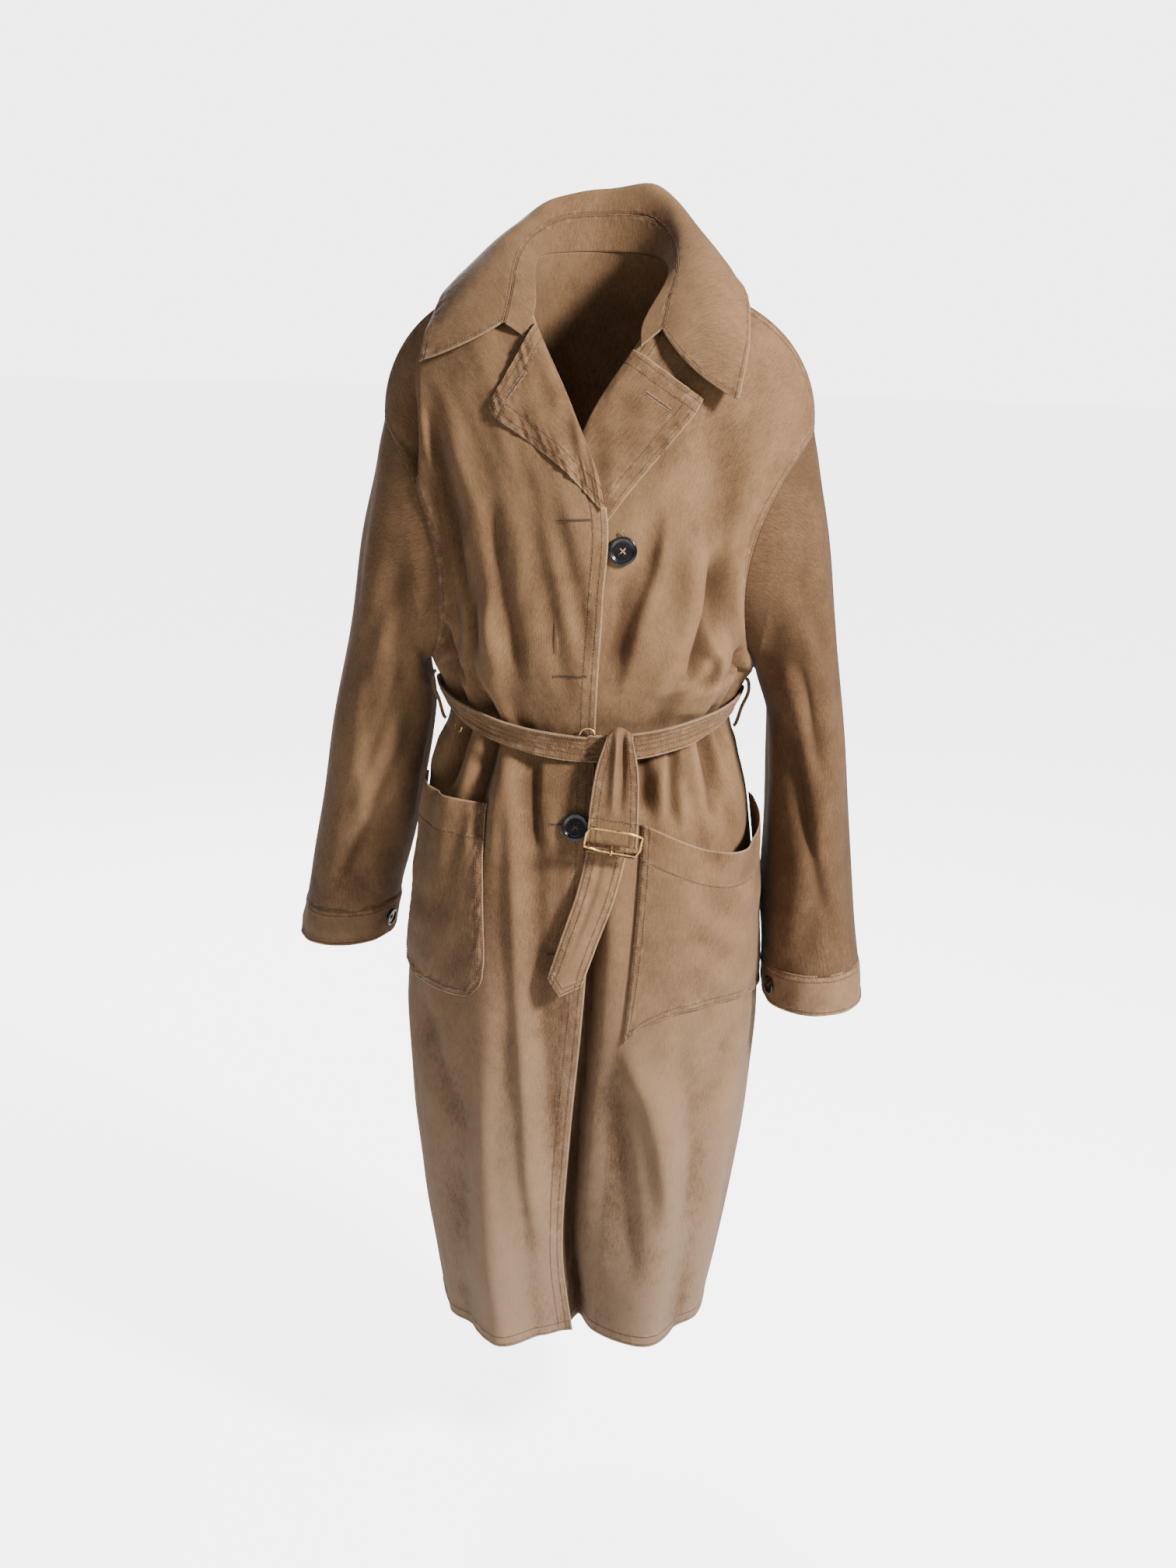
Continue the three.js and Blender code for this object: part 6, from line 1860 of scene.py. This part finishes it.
@dataclass
class Belt:
    """The folded band round the waist, the buckle's flap, the tail, and the loops."""

    tailor: Seamstress
    finishes: Finishes

    def band(self) -> None:
        """The band: folded along its lower edge, sewn in rows, and a little bunched."""
        turn = np.linspace(0, 1, 421)[None, :-1]
        half = BELT_BAND_HEIGHT / 2 / 33 / 2
        row = np.linspace(-1, 1, 26)[:, None]
        bunched = 0.10 * unevenness(turn * 900, 0 * row, 5, 260) * half
        t = belt_row(turn) + half * row * (1 + 0.07 * unevenness(turn * 900, 0 * row, 8, 150)) + bunched
        fold = 0.9 * np.exp(-(((row + 0.62) / 0.10) ** 2)) + 0.5 * np.exp(-(((row - 0.35) / 0.1) ** 2))
        soft = 0.5 * unevenness(turn * 900, row * 14, 12, 60)
        bulge = 0.7 * (1 - row**2)
        grid = belt_point(turn, t, BELT_LIFT + BELT_BAND_THICKNESS + soft + bulge - fold)
        hint = grid - belt_point(turn, t, 0.0)
        cloth = Cloth(grid, grid_normals(grid, hint, True), wrap=True)
        offsets = (2.5, 8.5, 14, 19.5, 25.5)
        for offset in offsets:
            self.tailor.sew(cloth.line(Edge.TOP, offset))
        material = gabardine("belt_band", *((Edge.TOP, offset) for offset in offsets))
        made = self.tailor.panel("belt_band", cloth, material, BELT_BAND_THICKNESS, ("belt_band",),
                                 (Edge.TOP, Edge.BOTTOM))
        sewn = self.tailor.finish("belt_band_stitches", self.finishes.thread)

    def strip(self, table: Table, u: Array, k: Array, tilt: float, crown: Array,
              drop: Array) -> tuple:
        """The middle of a flat strip, and its outward directions.

        Args:
            table: Its middle and width, by u.
            u: Down the strip.
            k: Across it, from -0.5 to 0.5.
            tilt: How far its rows turn by its end, in degrees.
            crown: How far each point stands out.
            drop: How far each point is drawn down along the strip.
        """
        def middle(at: Array) -> Array:
            """The strip's middle line."""
            return points(*(table.at(n, at) for n in "xyz"))
        along = unit(middle(np.minimum(u + 0.02, 1)) - middle(np.maximum(u - 0.02, 0)))
        lean = np.radians(tilt * u)
        side = points(np.cos(lean), 0, -np.sin(lean))
        out = unit(np.cross(along, side))
        out = out * np.where(out[..., 1:2] > 0, -1, 1)
        wide = table.at("width", u)
        place = middle(u) + side * (k * wide)[..., None] + along * drop[..., None]
        return place + out * crown[..., None], np.broadcast_to(out, place.shape)

    def flap(self) -> None:
        """The buckle's end: softly folded lengthwise, cross-stitched, and turned round its bar."""
        u = np.linspace(0, 0.955, 96)[:, None]
        k = np.linspace(-0.5, 0.5, 44)[None]
        loose = step(u, 0.06, 0.3) * (1 - step(u, 0.6, 0.8))
        valley = -5.8 * np.exp(-(((k - 0.17 + 0.12 * u) / 0.10) ** 2)) * loose
        ridge = 6.0 * np.exp(-(((k + 0.12 - 0.18 * u) / 0.12) ** 2)) * loose
        curl = 1.4 * np.abs(2 * k) ** 4 * loose
        crown = valley + ridge + curl + BELT_END_THICKNESS / 2
        narrow = 0.70 + 0.30 * step(u, 0.0, 0.55)
        middle, out = self.strip(FLAP, u, k * narrow, BUCKLE_TILT, crown, 0 * crown)
        rounded = 9 * (2 * k) ** 2 * (1 - step(u, 0.05, 0.4))
        middle = middle - points(0, 0, rounded)
        cloth = Cloth(middle, grid_normals(middle, out, False))
        for edge in SIDES:
            for offset in (2.5, 8.5):
                self.tailor.sew(cloth.line(edge, offset, 0.05, 1))
        self.tailor.sew(cloth.line(Edge.BOTTOM, 24, 0.03, 0.97))
        material = gabardine("belt_flap", (Edge.LEFT, 2.5), (Edge.LEFT, 8.5), (Edge.RIGHT, 2.5),
                             (Edge.RIGHT, 8.5), (Edge.BOTTOM, 24))
        made = self.tailor.panel("belt_flap", cloth, material, BELT_END_THICKNESS, ("belt_flap",),
                                 SIDES)
        sewn = self.tailor.finish("belt_flap_stitches", self.finishes.thread)
        eye = self.eye(gabardine("belt_flap_eye"))

    def eye(self, material: bpy.types.Material) -> list:
        """The two lengths of cloth behind the buckle's lower bar, either side of the prong.

        Args:
            material: The cloth.

        Returns:
            The two pieces.
        """
        made = []
        inner, outer = BUCKLE_WIRE + 0.5, BUCKLE_WIRE + 2.0
        for name, start, stop in (("left", 3.2, 25.2), ("right", -25.2, -3.2)):
            x = np.linspace(start, stop, 20)[:, None]
            a = np.radians(np.linspace(78, 262, 30))[None]
            reach = outer + 0.25 * unevenness(x * 3, a * 12, 21, 24)
            around = points(0 * x, -np.cos(a), np.sin(a))
            ring = points(x, 0 * a, 0 * a) + around * reach[..., None]
            grid = in_buckle(ring)
            normal = in_buckle(ring + around) - grid
            cloth = Cloth(grid, unit(normal))
            piece = self.tailor.panel(f"belt_flap_eye_{name}", cloth, material, outer - inner, (),
                                      ())
            made.append(piece)
        return made

    def tail(self) -> None:
        """The tail, pale at its edges, that ends in a point."""
        u = np.linspace(0, 0.93, 130)[:, None]
        k = np.linspace(-0.5, 0.5, 40)[None]
        drop = 16 * (1 - np.abs(k) * 2) * step(u, 0.84, 0.93) + 0 * u
        loose = step(u, 0.05, 0.3)
        crown = 2 * (1 - 4 * k * k) + BELT_END_THICKNESS / 2
        crown = crown + loose * 0.9 * unevenness(k * 90, u * 260, 14, 110)
        crown = crown - 1.6 * np.exp(-(((k + 0.08) / 0.09) ** 2)) * loose * (1 - step(u, 0.6, 0.9))
        middle, out = self.strip(TAIL, u, k, 14, crown, drop)
        cloth = Cloth(middle, grid_normals(middle, out, False))
        for edge in SEWN_EDGES:
            self.tailor.sew(cloth.line(edge, 3, 0.02, 0.98))
            self.tailor.sew(cloth.line(edge, 9, 0.02, 0.98))
        rows = ((edge, offset) for edge in SEWN_EDGES for offset in (3, 9))
        # The tail's cloth is made paler all over.
        material = gabardine("belt_tail", *rows, shade=-0.25)
        made = self.tailor.panel("belt_tail", cloth, material, BELT_END_THICKNESS, ("belt_tail",),
                                 SEWN_EDGES)
        sewn = self.tailor.finish("belt_tail_stitches", self.finishes.thread)

    def loops(self) -> None:
        """A cord loop at either side, bulging past the belt."""
        for side, name in ((-1, "right"), (1, "left")):
            k = np.linspace(0, 1, 90)
            bulge = np.sin(math.pi * np.clip(k, 1e-6, 1 - 1e-6)) ** 0.6
            line = belt_point(0.25 if side > 0 else 0.75, WAIST_ROW - 0.72 + k, 2 + 12 * bulge)
            made = tube(f"belt_loop_{name}_cord", line, 1.9, 12, self.finishes.thread,
                        self.tailor.body, (f"belt_loop_{name}",))

    def build(self) -> None:
        """Builds the belt."""
        self.band()
        self.flap()
        self.tail()
        self.loops()


def in_buckle(place: Array) -> Array:
    """Points of the buckle's own frame placed in the coat: turned about Y, then moved to its bar."""
    turn = math.radians(BUCKLE_TILT)
    x = place[..., 0] * math.cos(turn) + place[..., 2] * math.sin(turn)
    z = -place[..., 0] * math.sin(turn) + place[..., 2] * math.cos(turn)
    return points(x, place[..., 1], z) + np.array(BUCKLE_BAR, float)


def about_bar(place: Array, degrees: float) -> Array:
    """Points turned about the buckle's bar, its own X axis."""
    turn = math.radians(degrees)
    y = place[..., 1] * math.cos(turn) - place[..., 2] * math.sin(turn)
    z = place[..., 1] * math.sin(turn) + place[..., 2] * math.cos(turn)
    return points(place[..., 0], y, z)


@dataclass(frozen=True)
class Buckle:
    """The wire frame and its prong, hinged on the lower bar."""

    brass: bpy.types.Material
    corner: float = 3
    prong_wire: float = 1.0
    prong_length: float = 27
    prong_lean: float = -26
    prong_play: float = 0.35

    def frame(self) -> None:
        """A rectangle with round corners, standing on its lower bar."""
        c, half = self.corner, BUCKLE_HALF_WIDTH
        path = []
        for x, z, start in ((half - c, c, -90), (half - c, BUCKLE_HEIGHT - c, 0),
                            (c - half, BUCKLE_HEIGHT - c, 90), (c - half, c, 180)):
            a = np.radians(start + np.linspace(0, 90, 9))
            path.append(points(x + c * np.cos(a), 0, z + c * np.sin(a)))
        corners = np.concatenate(path)
        line = in_buckle(about_bar(corners, BUCKLE_LEAN))
        after = np.roll(line, -1, 0)
        share = np.linspace(0, 1, 5)[:-1][None, :, None]
        line = (line[:, None] * (1 - share) + after[:, None] * share).reshape(-1, 3)
        keep = np.r_[True, np.linalg.norm(np.diff(line, axis=0), axis=1) > 0.15]
        tube("buckle_frame_wire", line[keep], BUCKLE_WIRE, 20, self.brass, "buckle",
             ("buckle_frame",), closed=True)

    def prong(self) -> None:
        """One wire: nearly a full turn round the bar, then a straight pin."""
        eye = BUCKLE_WIRE + self.prong_play + self.prong_wire
        a = np.radians(np.linspace(-150, 150, 40))
        turn = points(0, eye * np.sin(a), -eye * np.cos(a))
        start = eye + self.prong_wire
        k = np.linspace(0.2, 1, 14)
        pin = points(0, 0.4 * (1 - k), start + (self.prong_length - start) * k)
        line = in_buckle(about_bar(np.concatenate([turn, pin]), self.prong_lean))
        radius = np.r_[np.full(len(turn), self.prong_wire),
                       self.prong_wire * (1 - 0.45 * step(k, 0.85, 1.0))]
        tube("buckle_prong_wire", line, radius, 16, self.brass, "prong",
             ("buckle_prong",))

    def build(self) -> None:
        """Both parts."""
        self.frame()
        self.prong()


@dataclass(frozen=True)
class WireRing:
    """An arc of a small wire ring at the belt's edge."""

    name: str
    centre: Array
    out: Array
    start: float
    stop: float

    def build(self, brass: bpy.types.Material) -> None:
        """The arc as a round wire."""
        side = unit(np.cross([0, 0, 1.0], self.out))
        a = np.radians(np.linspace(self.start, self.stop, 40))
        line = self.centre + side * (RING_RADIUS * np.cos(a))[:, None]
        line = line + points(0, 0, RING_RADIUS * np.sin(a))
        tube(f"{self.name}_wire", line, RING_WIRE, 14, brass, "coat", (self.name,))


@dataclass(frozen=True)
class Button:
    """A dished four-hole button with a raised rim, sewn on with a thread cross."""

    name: str
    point: Array
    out: Array
    radius: float
    thickness: float
    thread: bpy.types.Material | None
    body: str = "coat"

    def build(self, polish: bpy.types.Material) -> None:
        """A turned disc whose face has a rim, a dish and four pits."""
        r, h = self.radius, self.thickness
        profile = Table("k radius height", (
            (0, 0.02, 0.0), (1, 0.62, 0), (2, 0.90, 0.18), (3, 0.99, 0.5), (4, 0.985, 0.78),
            (5, 0.93, 0.97), (6, 0.86, 0.99), (7, 0.78, 0.9), (8, 0.69, 0.66), (9, 0.6, 0.61),
            (10, 0.30, 0.6), (11, 0.003, 0.6)))
        k = np.r_[np.linspace(0, 9, 55), np.linspace(9, 11, 40)[1:]][:, None]
        turn = np.linspace(0, 2 * math.pi, 73)[None, :-1]
        reach, height = profile.at("radius", k) * r, profile.at("height", k) * h
        x, y = reach * np.cos(turn), reach * np.sin(turn)
        pit = np.zeros(x.shape)
        spread = 0.17 * r
        for sx in (-1, 1):
            for sy in (-1, 1):
                away = np.hypot(x - sx * spread, y - sy * spread)
                pit = np.maximum(pit, 1 - step(away, 0.05 * r, 0.10 * r))
        height = height - pit * (k > 8.5) * 0.45 * h
        local = points(x, y, height + 0 * x)
        first, last = local[:1].mean(1), local[-1:].mean(1)
        rows, cols = x.shape
        i, j = np.meshgrid(np.arange(rows - 1), np.arange(cols), indexing="ij")
        beside = (j + 1) % cols
        faces = np.stack([i * cols + j, (i + 1) * cols + j, (i + 1) * cols + beside,
                          i * cols + beside], -1).reshape(-1, 4)
        number = rows * cols
        ring = np.arange(cols)
        caps = np.concatenate([
            np.stack([np.full(cols, number), ring, (ring + 1) % cols], -1),
            np.stack([np.full(cols, number + 1), (rows - 1) * cols + (ring + 1) % cols,
                      (rows - 1) * cols + ring], -1)])
        vertices = np.concatenate([local.reshape(-1, 3), first, last])
        made = mesh_object(f"{self.name}_disc", self.placed(vertices), (faces, caps), polish)
        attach(made, self.body)
        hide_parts(self.name)
        if self.thread is None:
            return
        for way, name in ((1, "a"), (-1, "b")):
            k = np.linspace(-1, 1, 24)
            line = points(k * spread, way * k * spread, 0.62 * h + 0.09 * h * (1 - k**4) - 0.25 * h * k**12)
            tube(f"{self.name}_thread_{name}", self.placed(line), 0.055 * r, 8, self.thread,
                 self.body)

    def placed(self, local: Array) -> Array:
        """Points of the button's own frame, its face along +Z, placed on the cloth.

        Its first axis is the world's X made square to the outward direction.
        """
        first = unit(np.array([1.0, 0, 0]) - self.out * self.out[0])
        second = np.cross(self.out, first)
        return self.point + local @ np.stack([first, second, self.out])


@dataclass
class Fastenings:
    """The buttons, the worked buttonholes of the front and the small thread marks."""

    body: Body
    tailor: Seamstress
    finishes: Finishes

    def on_front(self, front: Front, x: Array, z: Array, s: float, t: float) -> tuple:
        """Points of a dressed front at (x, z), and their outward directions."""
        s, t = locate(front, x, z, s, t)
        return front.dressed(s, t), front.normal(s, t)

    def buttons(self) -> None:
        """The top and waist buttons and one on each cuff."""
        top, top_out = self.on_front(self.body.left, *TOP_BUTTON, 0.2, 3.4)
        waist, waist_out = self.on_front(self.body.right, *WAIST_BUTTON, 0.06, 7)
        plain_top = self.body.left.surface(*locate(self.body.left, *TOP_BUTTON, 0.2, 3.4))
        plain_waist = self.body.right.surface(*locate(self.body.right, *WAIST_BUTTON, 0.06, 7))
        seat = np.where((top - plain_top) @ top_out > 0, top, plain_top)
        Button("button_top", seat, top_out, BUTTON_RADIUS, BUTTON_THICKNESS,
               self.finishes.pale_thread).build(self.finishes.polish)
        k = np.linspace(0, 1, 20)
        loop = top + points(2.2 * np.cos(math.pi * k), 0, 0) + top_out * (1.5 * np.sin(math.pi * k))[:, None]
        loop = loop + points(0, 0, 15 + 5 * np.sin(math.pi * k))
        made = tube("button_top_loop", loop, 0.45, 8, self.finishes.pale_thread, "coat")
        LOG.info("%s: a thread loop over the top button", made.name)
        Button("button_waist", plain_waist + waist_out * 0.4, waist_out, BUTTON_RADIUS,
               BUTTON_THICKNESS, self.finishes.brown_thread).build(self.finishes.polish)
        for sleeve in self.body.sleeves:
            side = "right" if sleeve.side < 0 else "left"
            ring = sleeve.ring(np.array(float(SLEEVE_ROWS)))
            outside = Ring(ring.x, ring.y, ring.z, ring.lean + CUFF_STEP, ring.high,
                           ring.deep + CUFF_STEP, ring.bow)
            angle = np.array(152.0)
            out = sleeve.normal(angle, np.array(6.95))
            point = outside.at(sleeve.side, angle) + sleeve.along() * CUFF_BUTTON_DOWN - out * 0.6
            Button(f"button_cuff_{side}", point, out, CUFF_BUTTON_RADIUS, CUFF_BUTTON_THICKNESS,
                   self.finishes.brown_thread).build(self.finishes.polish)

    def buttonholes(self) -> None:
        """Four worked buttonholes across the upper front."""
        for number, z in enumerate(BUTTONHOLE_HEIGHTS):
            x = np.linspace(*BUTTONHOLE_SPAN, 26)
            place, out = self.on_front(self.body.right, x, z + 0.06 * (x + 20), 0.1, 3 + number * 1.6)
            hole = Buttonhole(f"buttonhole_{number + 1}", place + out * 0.15, out, half=1.4)
            hole.build(self.tailor, self.finishes.slit, self.finishes.brown_thread)

    def build(self) -> None:
        """Builds every fastening."""
        self.buttons()
        self.buttonholes()


def record_size(when: str, sizes: dict) -> None:
    """Keeps the bounds of everything that shows, as plain lists.

    Args:
        when: The name to keep them under.
        sizes: The record to add them to.
    """
    sizes[when] = [[float(v) for v in corner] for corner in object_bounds()]


def main() -> None:
    """Dresses the coat and sets up its studio."""
    logging.basicConfig(level=logging.INFO, format="%(message)s")
    sizes: dict = {}
    record_size("frame", sizes)
    Studio().set_up()
    finishes = Finishes.make()
    tailor = Seamstress("coat")
    right = Front(-1, EDGE_UPPER, FOLDS_RIGHT, RIGHT_CREASES, 3)
    left = Front(1, EDGE_UNDER, FOLDS_LEFT, LEFT_CREASES, 4)
    back = Back((right, left), FOLDS_BACK, BACK_CREASES, 6)
    sleeves = (Sleeve(-1, SLEEVE_RIGHT, SLEEVE_CREASES_RIGHT, 17),
               Sleeve(1, SLEEVE_LEFT, SLEEVE_CREASES_LEFT, 18))
    body = Body(right, left, back, sleeves, tailor, finishes)
    body.build()
    Collar(tailor, finishes).build()
    Lapel("lapel_right", right, LAPEL_RIGHT, tailor, finishes,
          ((-73, -100), (-93, -128))).build()
    Lapel("lapel_left", left, LAPEL_LEFT, tailor, finishes,
          ((46, -116), (72, -133))).build()
    Pocket("pocket_right", right, 0.405, 0.30, 0.94, 6.86, 0.05, 8.84, 11, 8, 0.0, 0.0,
           tailor, finishes).build()
    Pocket("pocket_left", left, 0.25, 0.19, 0.93, 6.98, 0.36, 8.86, 24, 10, 0.30, 0.12,
           tailor, finishes).build()
    Belt(tailor, finishes).build()
    Buckle(finishes.brass).build()
    side = belt_point(0.83, 6.1, RING_LIFT)
    side_out = unit(belt_point(0.83, 6.1, RING_LIFT + 1) - side)
    WireRing("belt_ring_front", np.array([-2.0, -128, -456]), np.array([0, -1.0, 0]), 8, 172).build(
        finishes.brass)
    WireRing("belt_ring_side", side, side_out, 188, 352).build(finishes.brass)
    Fastenings(body, tailor, finishes).build()
    record_size("dressed", sizes)


if __name__ == "__main__":
    main()
